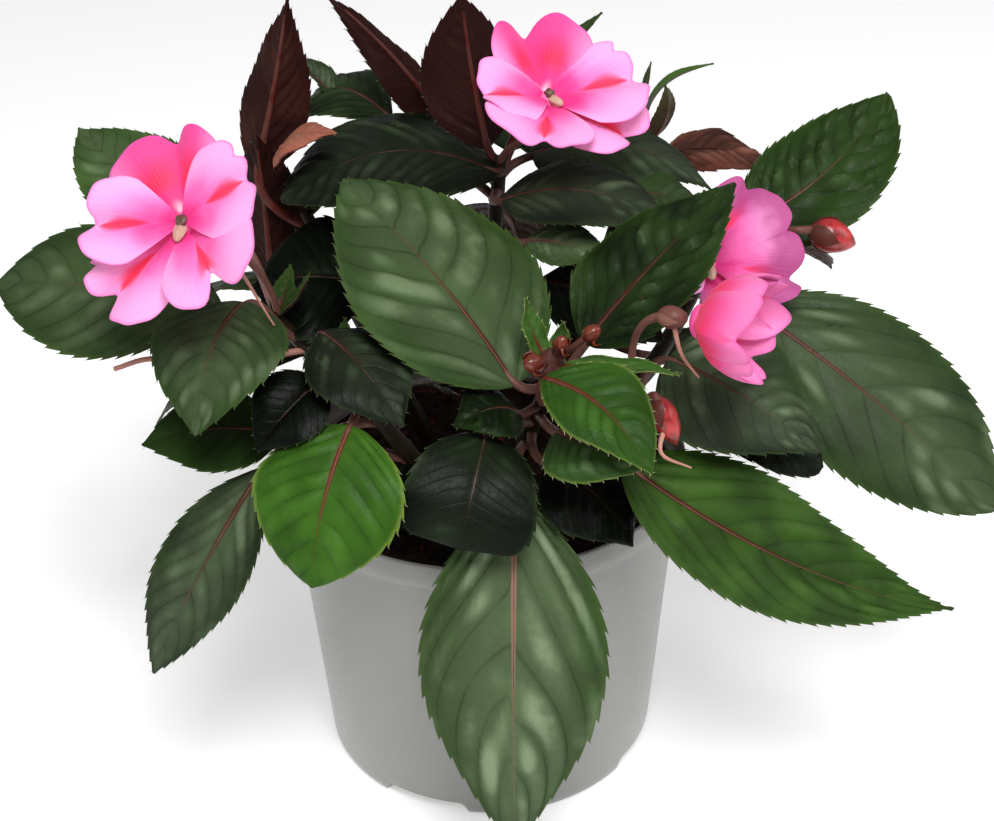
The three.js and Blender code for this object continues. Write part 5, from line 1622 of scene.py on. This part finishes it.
class MaterialGraph(Graph):
    """The node tree of a material with one Principled shader."""

    def __init__(self, name: str) -> None:
        """Makes the material and its shader."""
        self.material = bpy.data.materials.new(name)
        self.material.use_nodes = True
        super().__init__(self.material.node_tree)
        self.shader = self.tree.nodes["Principled BSDF"]

    def finish(self, colour: Ink, roughness: Value, normal: Socket | None = None,
               **constants: float) -> Material:
        """Feeds colour, roughness and normal to the shader and sets its other sockets.

        Args:
            colour: base colour.
            roughness: roughness.
            normal: the normal, or None where nothing presses it in.
            constants: numbers for the shader's own sockets, by name with _ for a space.

        Returns:
            The material.
        """
        if normal is not None:
            self.feed(self.shader.inputs["Normal"], normal)
        self.feed(self.shader.inputs["Base Color"], colour)
        self.feed(self.shader.inputs["Roughness"], roughness)
        for label, value in constants.items():
            self.shader.inputs[label.replace("_", " ")].default_value = value
        return self.material


class Groups:
    """Node groups that more than one finish places, each built once."""

    NET_SCALE = 330.0

    @staticmethod
    def new(name: str, inputs: tuple[str, ...], outputs: tuple[str, ...]) -> tuple[Graph, Socket, Socket]:
        """Makes an empty group whose inputs and outputs are numbers.

        Args:
            name: the group's name.
            inputs: name of each input.
            outputs: name of each output.

        Returns:
            Its graph, the sockets that bring its inputs, and those that take its outputs.
        """
        tree = bpy.data.node_groups.new(name, "ShaderNodeTree")
        for way, labels in (("INPUT", inputs), ("OUTPUT", outputs)):
            for label in labels:
                tree.interface.new_socket(label, in_out=way, socket_type="NodeSocketFloat")
        enter, leave = tree.nodes.new("NodeGroupInput"), tree.nodes.new("NodeGroupOutput")
        return Graph(tree), enter.outputs, leave.inputs

    def __init__(self) -> None:
        """Builds the groups."""
        self.veins = self.make_veins()
        self.skin = self.make_skin()

    def make_veins(self) -> bpy.types.NodeTree:
        """Masks of a leaf: midrib, side veins, the net between them, and the margin."""
        graph, given, taken = self.new(
            "leaf_veins", ("Along", "Outward", "Count", "Distance"), ("Midrib", "Veins", "Net", "Margin"))
        along, outward, count, distance = given[0], given[1], given[2], given[3]
        width = graph.ramp(along, 0.0, 1.0, 1.0, 0.18)
        graph.feed(taken["Midrib"], graph.ramp(graph.math("DIVIDE", distance, width), 0.5, 1.25, 1.0, 0.0))
        line = graph.ramp(graph.math("PINGPONG", count, 0.5), 0.01, 0.09, 1.0, 0.0)
        graph.feed(taken["Veins"], graph.times(line, graph.ramp(outward, 0.75, 1.0, 1.0, 0.25)))
        cells = graph.node("TexVoronoi", feature="DISTANCE_TO_EDGE")
        graph.feed(cells.inputs["Vector"], graph.here())
        graph.feed(cells.inputs["Scale"], self.NET_SCALE)
        graph.feed(taken["Net"], graph.ramp(cells.outputs["Distance"], 0.0, 0.16, 1.0, 0.0))
        graph.feed(taken["Margin"], graph.ramp(outward, 0.94, 1.0))
        return graph.tree

    def make_skin(self) -> bpy.types.NodeTree:
        """Uneven skin: a wide and a fine mottle, and a height that follows the fine one."""
        graph, given, taken = self.new("uneven_skin", ("Wide", "Fine"), ("Mottle", "Speck", "Height"))
        where = graph.here()
        wide, fine = graph.noise(where, given[0], 3.0), graph.noise(where, given[1], 2.0)
        graph.feed(taken["Mottle"], graph.ramp(wide, 0.3, 0.7))
        graph.feed(taken["Speck"], graph.ramp(fine, 0.3, 0.7))
        graph.feed(taken["Height"], fine)
        return graph.tree

    def uneven(self, graph: Graph, wide: float, fine: float) -> bpy.types.NodeOutputs:
        """Places the uneven skin with its two scales."""
        return self.place(graph, self.skin, wide, fine)

    @staticmethod
    def place(graph: Graph, group: bpy.types.NodeTree, *values: Value) -> bpy.types.NodeOutputs:
        """Places a group in a material and feeds its inputs in order."""
        made = graph.node("Group", node_tree=group)
        for target, value in zip(made.inputs, values):
            graph.feed(target, value)
        return made.outputs


@dataclass(frozen=True)
class LeafFinish:
    """A leaf's skin, from deep to bright by the leaf's own tone, with a painted silver sheen on its puckers.

    The midrib of a leaf whose grey tone is high is dry and pale, and that of a dark leaf, whose darkness is
    partly painted shade, hardly shows.
    """

    name: str
    deep: Colour
    middle: Colour
    bright: Colour
    silver: Colour
    rib: Colour
    vein: Colour
    margin: Colour
    under: Colour
    bristle: Colour
    dry_rib: Colour = srgb(156, 122, 106)
    gloss: float = 0.34

    def upper(self, graph: Graph, veins: bpy.types.NodeOutputs, skin: bpy.types.NodeOutputs) -> Socket:
        """Colour of the upper face: shade by tone, painted light on the crests and painted shade in the
        hollows, a painted silver sheen on the crests and an even share of silver, net, side veins, margin
        and bristles.

        Args:
            graph: the material's graph.
            veins: outputs of the veins group.
            skin: outputs of the uneven skin group.

        Returns:
            The colour.
        """
        outward = graph.read("place")[1]
        tone, grey, _, relief = graph.read("tone")
        mottle = skin["Mottle"]
        # Painted light and shade: the brightness follows the leaf's tone and mottle, lifted on the puckers'
        # crests and lowered in their hollows.
        shade = graph.sway(graph.sway(tone, mottle, 0.22), relief, 0.2)
        # Painted sheen: silver laid on the crests of the puckers, patchy by the mottle.
        crest_sheen = graph.times(graph.ramp(relief, 0.4, 0.92), grey)
        crest_sheen = graph.times(crest_sheen, graph.ramp(mottle, 0.15, 0.8, 0.25, 1.2))
        # An even share of the silver, larger towards the midrib and on greyer leaves.
        silver_share = graph.times(grey, graph.ramp(outward, 0.25, 1.0, 0.27, 0.08))
        faint = graph.ramp(mottle, 0.1, 0.9, 0.36, 0.12)
        light = graph.plus(graph.times(tone, 0.6), 0.12)
        return graph.over(
            self.deep,
            (graph.ramp(shade, 0.0, 0.5), self.middle),
            (graph.ramp(shade, 0.45, 1.0), self.bright),
            (graph.plus(graph.times(crest_sheen, 0.6), silver_share), self.silver),
            (graph.times(veins["Net"], 0.06), self.vein),
            (graph.times(veins["Veins"], faint), self.vein),
            (graph.times(veins["Margin"], light), self.margin),
            (graph.ramp(outward, 1.2, 1.8, 0.0, 0.7), self.bristle))

    def ribbed(self, graph: Graph, colour: Socket, midrib: Socket) -> Socket:
        """Lays the midrib over a colour, fading towards the tip and on a dark leaf.

        Args:
            graph: the material's graph.
            colour: the leaf's colour.
            midrib: the midrib's mask.

        Returns:
            The colour.
        """
        along = graph.read("place")[0]
        tone, grey, red, _ = graph.read("tone")
        reach = graph.plus(along, graph.times(red, -0.4))
        amount = graph.times(midrib, graph.ramp(reach, 0.1, 0.55, 0.9, 0.15))
        amount = graph.times(amount, graph.ramp(tone, 0.0, 0.3, 0.45, 1.0))
        rib = graph.mix(graph.ramp(grey, 0.75, 1.0, 0.0, 0.75), self.rib, self.dry_rib)
        return graph.mix(amount, colour, rib)

    def make(self, groups: Groups) -> Material:
        """Builds the material."""
        graph = MaterialGraph(self.name)
        veins = groups.place(graph, groups.veins, *graph.read("place"))
        skin = groups.uneven(graph, 55.0, 900.0)
        upper = self.upper(graph, veins, skin)
        under = graph.mix(graph.times(veins["Veins"], 0.5), self.under, self.rib)
        under = graph.mix(graph.times(skin["Mottle"], 0.25), under, upper)
        colour = self.ribbed(graph, graph.mix(graph.number("back"), upper, under), veins["Midrib"])
        rough = graph.plus(graph.times(skin["Speck"], 0.12), self.gloss)
        height = graph.minus(graph.times(skin["Height"], 0.5), graph.times(veins["Net"], 0.12))
        height = graph.minus(height, graph.times(veins["Veins"], 0.8))
        return graph.finish(colour, rough, graph.bump(height, 0.4), Specular_IOR_Level=0.065)


@dataclass(frozen=True)
class StemFinish:
    """Fleshy skin of stems and stalks: brown-red to green by the piece's own tone."""

    name: str
    deep: Colour
    bright: Colour
    red: Colour

    def make(self, groups: Groups) -> Material:
        """Builds the material."""
        graph = MaterialGraph(self.name)
        tone, _, red, _ = graph.read("tone")
        skin = groups.uneven(graph, 130.0, 1400.0)
        colour = graph.mix(graph.plus(tone, graph.times(skin["Mottle"], 0.2)), self.deep, self.bright)
        amount = graph.math("MULTIPLY", red, graph.ramp(skin["Mottle"], 0.0, 1.0, 0.6, 1.0), clamp=True)
        colour = graph.mix(amount, colour, self.red)
        rough = graph.ramp(skin["Speck"], 0.0, 1.0, 0.36, 0.5)
        return graph.finish(colour, rough, graph.bump(skin["Height"], 0.3), Specular_IOR_Level=0.18,
                            Subsurface_Weight=0.05, Subsurface_Scale=0.002)


@dataclass(frozen=True)
class PetalFinish:
    """Velvety petal: pale lobes, a magenta foot and a coral flame along the crease.

    Its back has a coral blush at the foot, and painted shade darkens the petals that their shade number
    marks, more towards the rim. The upper petal is deeper, with two coral hearts and a white throat.
    """

    pale: Colour
    rose: Colour
    magenta: Colour
    coral: Colour
    white: Colour
    edge: Colour
    painted_shade_tint: Colour

    def ground(self, graph: Graph, uneven: Socket) -> Socket:
        """Colour without marks: pale lobes, rose along the crease, magenta at the foot and where it is deep.

        Args:
            graph: the material's graph.
            uneven: the share outwards, moved a little by the mottle.

        Returns:
            The colour.
        """
        along, _, outward, _ = graph.read("place")
        halo = graph.times(graph.ramp(outward, 0.0, 0.6, 0.75, 0.0), graph.ramp(along, 0.5, 0.95, 1.0, 0.2))
        depth = graph.times(graph.read("tone")[1], graph.ramp(outward, 0.9, 0.35, 0.3, 0.9))
        return graph.over(
            self.rose, (graph.ramp(along, 0.3, 0.85), self.pale), (halo, self.rose), (depth, self.magenta),
            (graph.ramp(uneven, 0.1, 0.62, 1.0, 0.0), self.magenta))

    def marked(self, graph: Graph, colour: Socket) -> Socket:
        """Lays the marks over a colour: the flame, the upper petal's hearts and throat, and the rim.

        The flame is a lens along the crease: its half width is the first half turn of a sine.

        Args:
            graph: the material's graph.
            colour: the petal's ground.

        Returns:
            The colour with its marks.
        """
        along, _, outward, _ = graph.read("place")
        flame, deep, _, _ = graph.read("tone")
        lens = graph.math("SINE", graph.times(graph.ramp(along, 0.25, 1.02), math.pi))
        width = graph.plus(graph.times(lens, 0.17), 0.005)
        tongue = graph.ramp(graph.math("DIVIDE", outward, width), 0.3, 1.3, 0.92, 0.0)
        streak = graph.times(graph.times(tongue, graph.ramp(along, 0.3, 0.5)), flame)
        aside = graph.math("ABSOLUTE", graph.minus(outward, 0.34))
        heart = graph.times(graph.ramp(along, 0.28, 0.5), graph.ramp(along, 0.5, 0.85, 1.0, 0.0))
        heart = graph.times(graph.times(heart, graph.ramp(aside, 0.1, 0.34, 1.0, 0.15)), deep)
        inner = graph.ramp(outward, 0.15, 0.5, 1.0, 0.0)
        throat = graph.times(graph.times(graph.ramp(along, 0.13, 0.3, 1.0, 0.0), inner), deep)
        rim = graph.times(graph.ramp(along, 0.955, 1.0), 0.5)
        return graph.over(
            colour, (streak, self.coral), (graph.times(heart, 0.85), self.coral), (throat, self.white),
            (rim, self.edge))

    def turned(self, graph: Graph, colour: Socket, uneven: Socket) -> Socket:
        """Deepens a colour on the back, with a coral blush at its foot, and darkens it with painted shade
        where the petal's shade number says, more towards the rim.

        Args:
            graph: the material's graph.
            colour: the petal's colour.
            uneven: the share outwards, moved a little by the mottle.

        Returns:
            The colour.
        """
        back = graph.number("back")
        deeper = graph.times(back, graph.ramp(graph.read("place")[0], 0.5, 0.95, 0.5, 0.3))
        blush = graph.times(back, graph.ramp(uneven, 0.25, 0.78, 0.85, 0.0))
        # Painted shade: the petals that the shade number marks darken towards the rim.
        painted_shade_share = graph.times(graph.read("tone")[2], graph.ramp(uneven, 0.4, 0.9, 0.2, 1.0))
        return graph.over(colour, (deeper, self.magenta), (blush, self.coral), (painted_shade_share, self.painted_shade_tint))

    def lines(self, graph: Graph) -> Socket:
        """Mask of the fine veining: bands across the petal that run outwards, a little wavy."""
        along, across, _, _ = graph.read("place")
        lines = graph.node("TexWave", wave_type="BANDS", bands_direction="X")
        where = graph.node("CombineXYZ")
        graph.feed(where.inputs[0], across)
        graph.feed(where.inputs[1], graph.times(along, 0.15))
        graph.feed(lines.inputs["Vector"], where.outputs[0])
        for label, value in (("Scale", 9.0), ("Distortion", 2.5), ("Detail Scale", 3.0)):
            graph.feed(lines.inputs[label], value)
        return lines.outputs["Fac"]

    def make(self, groups: Groups) -> Material:
        """Builds the material."""
        graph = MaterialGraph("petal")
        skin = groups.uneven(graph, 90.0, 1600.0)
        uneven = graph.sway(graph.read("place")[0], skin["Mottle"], 0.22)
        colour = self.turned(graph, self.marked(graph, self.ground(graph, uneven)), uneven)
        lines = self.lines(graph)
        colour = graph.mix(graph.times(lines, 0.05), colour, self.magenta)
        height = graph.plus(graph.times(lines, 0.6), skin["Height"])
        # Painted light: the petal glows faintly in its own colour.
        graph.feed(graph.shader.inputs["Emission Color"], colour)
        return graph.finish(colour, 0.55, graph.bump(height, 0.25), Emission_Strength=0.05, Sheen_Weight=0.1,
                            Specular_IOR_Level=0.3)


@dataclass(frozen=True)
class EyeFinish:
    """Column and cap in a bloom's eye: cream to brown-green by the piece's own tone."""

    cream: Colour
    brown: Colour

    def make(self, groups: Groups) -> Material:
        """Builds the material."""
        graph = MaterialGraph("eye")
        tone = graph.read("tone")[0]
        skin = groups.uneven(graph, 400.0, 2500.0)
        colour = graph.mix(graph.plus(tone, graph.times(skin["Mottle"], 0.2)), self.brown, self.cream)
        return graph.finish(colour, 0.45, graph.bump(skin["Height"], 0.4))


@dataclass(frozen=True)
class BudFinish:
    """Glossy bud: red with darker flushes, or orange-brown by the piece's own second tone."""

    red: Colour
    dark: Colour
    orange: Colour

    def make(self, groups: Groups) -> Material:
        """Builds the material."""
        graph = MaterialGraph("bud")
        along = graph.read("place")[0]
        tone, orange, _, _ = graph.read("tone")
        skin = groups.uneven(graph, 300.0, 1800.0)
        brown = graph.mix(graph.times(skin["Mottle"], 0.6), self.orange, self.dark)
        colour = graph.over(
            self.red, (graph.ramp(skin["Mottle"], 0.3, 1.0, 0.0, 0.7), self.dark),
            (graph.ramp(along, 0.1, 0.6, 0.5, 0.0), self.dark), (graph.ramp(orange, 0.3, 0.8), brown),
            (graph.ramp(tone, 0.35, 0.0, 0.0, 0.5), self.dark))
        rough = graph.ramp(skin["Speck"], 0.0, 1.0, 0.25, 0.4)
        return graph.finish(colour, rough, graph.bump(skin["Height"], 0.3), Coat_Weight=0.3,
                            Coat_Roughness=0.15)


@dataclass(frozen=True)
class PotFinish:
    """Satin grey plastic with faint flow marks and smudges, and a soft sheen towards its edges."""

    grey: Colour
    smudge: Colour

    def make(self, groups: Groups) -> Material:
        """Builds the material."""
        graph = MaterialGraph("pot")
        skin = groups.uneven(graph, 28.0, 700.0)
        smudges = graph.ramp(graph.noise(graph.here(), 60.0, 4.0, 0.65), 0.62, 0.78)
        flow = graph.times(skin["Mottle"], 0.12)
        colour = graph.over(self.grey, (flow, self.smudge), (graph.times(smudges, 0.3), self.smudge))
        rough = graph.plus(graph.times(smudges, 0.15), graph.ramp(skin["Speck"], 0.0, 1.0, 0.33, 0.42))
        return graph.finish(colour, rough, graph.bump(skin["Height"], 0.12), Subsurface_Weight=0.1,
                            Subsurface_Scale=0.004, Sheen_Weight=0.35, Sheen_Roughness=0.35)


@dataclass(frozen=True)
class SoilFinish:
    """Crumbly peat: dark brown with reddish bits."""

    dark: Colour
    brown: Colour
    red: Colour

    def make(self, groups: Groups) -> Material:
        """Builds the material."""
        graph = MaterialGraph("soil")
        tone, _, red, _ = graph.read("tone")
        skin = groups.uneven(graph, 260.0, 1500.0)
        colour = graph.over(
            self.dark, (skin["Mottle"], self.brown), (graph.ramp(red, 0.5, 0.9, 0.0, 0.8), self.red),
            (graph.ramp(tone, 0.3, 0.0, 0.0, 0.5), self.dark))
        normal = graph.bump(skin["Height"], 0.9, CRUMB_BUMP)
        return graph.finish(colour, 0.92, normal, Specular_IOR_Level=0.2)


def make_finishes() -> Finishes:
    """Builds every material.

    Returns:
        The material of each finish.
    """
    groups = Groups()
    leaf = LeafFinish(
        Finish.LEAF.value, deep=srgb(5, 9, 5), middle=srgb(34, 56, 18), bright=srgb(64, 100, 30),
        silver=srgb(122, 138, 108), rib=srgb(68, 25, 21), vein=srgb(14, 26, 11), margin=srgb(62, 86, 34),
        under=srgb(70, 50, 44), bristle=srgb(96, 104, 72))
    young = replace(
        leaf, name=Finish.YOUNG.value, deep=srgb(12, 24, 8), middle=srgb(36, 66, 16),
        bright=srgb(64, 108, 28), silver=srgb(124, 150, 110), rib=srgb(92, 30, 24), vein=srgb(28, 52, 14),
        margin=srgb(120, 140, 62), under=srgb(120, 120, 84), bristle=srgb(176, 176, 132))
    burgundy = replace(
        leaf, name=Finish.BURGUNDY.value, deep=srgb(10, 4, 4), middle=srgb(40, 13, 10),
        bright=srgb(150, 86, 70), silver=srgb(130, 92, 76), rib=srgb(20, 7, 6), vein=srgb(16, 6, 5),
        margin=srgb(66, 32, 26), under=srgb(36, 14, 12), gloss=0.45)
    makers = {
        Finish.LEAF: leaf,
        Finish.YOUNG: young,
        Finish.BURGUNDY: burgundy,
        Finish.STEM: StemFinish("stem", srgb(16, 9, 6), srgb(42, 42, 18), srgb(36, 13, 10)),
        Finish.STALK: StemFinish("stalk", srgb(18, 10, 7), srgb(208, 150, 134), srgb(74, 20, 14)),
        Finish.PETAL: PetalFinish(
            pale=srgb(244, 160, 214), rose=srgb(238, 106, 180), magenta=srgb(222, 40, 126),
            coral=srgb(240, 34, 70), white=srgb(250, 214, 232), edge=srgb(196, 66, 160),
            painted_shade_tint=srgb(166, 66, 126)),
        Finish.EYE: EyeFinish(cream=srgb(196, 158, 138), brown=srgb(62, 42, 20)),
        Finish.BUD: BudFinish(red=srgb(176, 36, 40), dark=srgb(72, 16, 14), orange=srgb(116, 46, 22)),
        Finish.POT: PotFinish(grey=srgb(134, 134, 131), smudge=srgb(112, 112, 110)),
        Finish.SOIL: SoilFinish(dark=srgb(18, 12, 9), brown=srgb(46, 31, 22), red=srgb(110, 50, 32)),
    }
    return {finish: maker.make(groups) for finish, maker in makers.items()}


# Assembly


class Plant:
    """Puts the pieces together, each on its own node's place."""

    def __init__(self) -> None:
        """Makes the finishes."""
        self.finishes = make_finishes()

    def add(self, node: str, slot: str, surfaces: list[Surface]) -> bpy.types.Object:
        """Makes the piece that stands for a node.

        Args:
            node: the node of the frame.
            slot: the record's material slot; not used.
            surfaces: the piece's closed skins.

        Returns:
            The piece.
        """
        piece = mesh_object(f"fine_{node}", surfaces, self.finishes)
        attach(piece, "root")
        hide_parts(node)
        log.info("%s: %d points", node, len(piece.data.vertices))
        return piece

    def leaf(self, leaf: Leaf, seed: int) -> list[Surface]:
        """A leaf with its stalk, from its stem or from its own base."""
        root = STEM_PATHS[leaf.stem].at(leaf.at) if leaf.stem else None
        return [*leaf.surfaces(seed), leaf.stalk(root)]

    def build_leaves(self) -> None:
        """Each leaf that is a node of its own."""
        for i, (node, leaves) in enumerate(LEAVES.items()):
            surfaces = [s for j, leaf in enumerate(leaves) for s in self.leaf(leaf, 40 * i + j)]
            self.add(node, leaves[0].finish.value, surfaces)

    def build_stems(self) -> None:
        """Each stem with the leaves that it carries."""
        for i, (name, stem) in enumerate(STEMS.items()):
            surfaces = [stem.surface()]
            carried = [*CARRIED.get(name, []), *stem.young_leaves()]
            for j, leaf in enumerate(carried):
                surfaces += self.leaf(leaf, 5000 + 40 * i + j)
            if name == "left":
                dried = Path.through([tuple(STEM_PATHS["left"].at(0.85)), *DRIED_STALK])
                surfaces.append(tapered(dried, PEDICEL_RADIUS, 0.3, DRIED_SKIN, wide=1.0))
            self.add(f"stem_{name}", "leaf" if name in CARRIED else "stem", surfaces)

    def build_blooms(self) -> None:
        """Each bloom and its stalk."""
        for bloom in BLOOMS:
            self.add(f"bloom_{bloom.name}", "petal", bloom.petal_surfaces())
            self.add(f"stalk_{bloom.name}", "stalk", bloom.stalk_surfaces())

    def build_buds(self) -> None:
        """The single buds and the whorl."""
        for bud in BUDS:
            self.add(f"bud_{bud.name}", "bud", bud.surfaces())
        self.add("whorl_centre", "bud", Whorl().surfaces())

    def build_pot(self) -> None:
        """The pot and the soil in it."""
        pot = Pot()
        pot.drill(self.add("pot", "pot", [pot.surface()]))
        soil = Soil(pot)
        self.add("soil", "soil", [soil.surface(), soil.crumb_surface()])


def matrix_of(first: Array, second: Array, third: Array, place: Array) -> Matrix:
    """The matrix that turns the axes to three unit vectors and moves the origin to a place."""
    matrix = np.eye(4)
    matrix[:3, 0], matrix[:3, 1], matrix[:3, 2], matrix[:3, 3] = first, second, third, place
    return Matrix(matrix.tolist())


@dataclass(frozen=True)
class Lamp:
    """A square soft lamp that points at the middle of the plant, in metres and watts."""

    name: str
    place: Point
    size: float
    power: float

    AIM = (0.0, 0.0, 0.14)

    def build(self) -> None:
        """Hangs the lamp."""
        data = bpy.data.lights.new(self.name, "AREA")
        data.size = self.size
        data.energy = self.power
        lamp = bpy.data.objects.new(self.name, data)
        away = unit(np.array(self.place) - np.array(self.AIM))
        first = axes_about(away)[0]
        lamp.matrix_world = matrix_of(first, np.cross(away, first), away, np.array(self.place))
        bpy.context.scene.collection.objects.link(lamp)


@dataclass(frozen=True)
class Studio:
    """Pale floor, soft light, and a camera that sees the plant as the photograph does."""

    target: Point = (0.0, 0.0, 107.0)
    target_pixel: tuple[float, float] = (484.3, 450.0)
    picture: tuple[int, int] = (994, 821)
    distance: float = 600.0
    focal_pixels: float = 1857.0
    elevation: float = 31.4
    roll: float = -1.2
    sensor: float = 36.0
    clip: tuple[float, float] = (0.01, 50.0)
    lamps: tuple[Lamp, ...] = (
        Lamp("key_lamp", (0.1, -0.7, 1.2), 0.5, 15.0),
        Lamp("left_lamp", (-1.1, -0.4, 0.8), 0.8, 2.8),
        Lamp("right_lamp", (1.1, -0.2, 0.8), 0.8, 5.0),
    )
    sky_strength: float = 0.3
    floor_radius: float = 6.0
    floor_corners: int = 64
    floor_grey: float = 0.86
    floor_glow: float = 0.36

    WHITE = (1.0, 1.0, 1.0, 1.0)

    def build_camera(self) -> None:
        """Sets the camera so that the target falls on its pixel: the view axis passes beside the target."""
        rise, roll = math.radians(self.elevation), math.radians(self.roll)
        back = np.array([0.0, -math.cos(rise), math.sin(rise)])
        right = unit(np.cross(-back, UP))
        upwards = np.cross(right, -back)
        across = right * math.cos(roll) + upwards * math.sin(roll)
        up = upwards * math.cos(roll) - right * math.sin(roll)
        off = [(pixel - size / 2) * self.distance / self.focal_pixels
               for pixel, size in zip(self.target_pixel, self.picture)]
        place = np.array(self.target) + back * self.distance - across * off[0] + up * off[1]
        data = bpy.data.cameras.new("camera")
        data.sensor_width = self.sensor
        data.lens = self.focal_pixels * self.sensor / self.picture[0]
        data.clip_start, data.clip_end = self.clip
        camera = bpy.data.objects.new("camera", data)
        camera.matrix_world = matrix_of(across, up, back, place * MM)
        bpy.context.scene.collection.objects.link(camera)
        bpy.context.scene.camera = camera

    def build_floor(self) -> None:
        """A wide pale disc under the pot."""
        turn = 2 * np.pi * np.arange(self.floor_corners) / self.floor_corners
        points = np.stack([np.cos(turn), np.sin(turn), 0 * turn], axis=-1) * self.floor_radius
        mesh = bpy.data.meshes.new("floor")
        mesh.from_pydata(points.tolist(), [], [list(range(self.floor_corners))])
        graph = MaterialGraph("floor")
        graph.feed(graph.shader.inputs["Emission Color"], self.WHITE)
        grey = (self.floor_grey, self.floor_grey, self.floor_grey, 1.0)
        finish = graph.finish(grey, 0.9, Specular_IOR_Level=0.1, Emission_Strength=self.floor_glow)
        mesh.materials.append(finish)
        floor = bpy.data.objects.new("floor", mesh)
        bpy.context.scene.collection.objects.link(floor)

    def build_lights(self) -> None:
        """A key lamp above the front, a soft lamp at each side, and a white sky."""
        for lamp in self.lamps:
            lamp.build()
        world = bpy.data.worlds.new("sky")
        world.use_nodes = True
        sky = world.node_tree.nodes["Background"].inputs
        sky["Color"].default_value = self.WHITE
        sky["Strength"].default_value = self.sky_strength
        bpy.context.scene.world = world
        bpy.context.scene.view_settings.view_transform = "Standard"

    def build(self) -> None:
        """Everything of the studio."""
        self.build_camera()
        self.build_floor()
        self.build_lights()


def main() -> None:
    """Builds the plant and the studio."""
    logging.basicConfig(level=logging.INFO, format="%(message)s")
    Studio().build()
    plant = Plant()
    plant.build_leaves()
    plant.build_stems()
    plant.build_blooms()
    plant.build_buds()
    plant.build_pot()


if __name__ == "__main__":
    main()
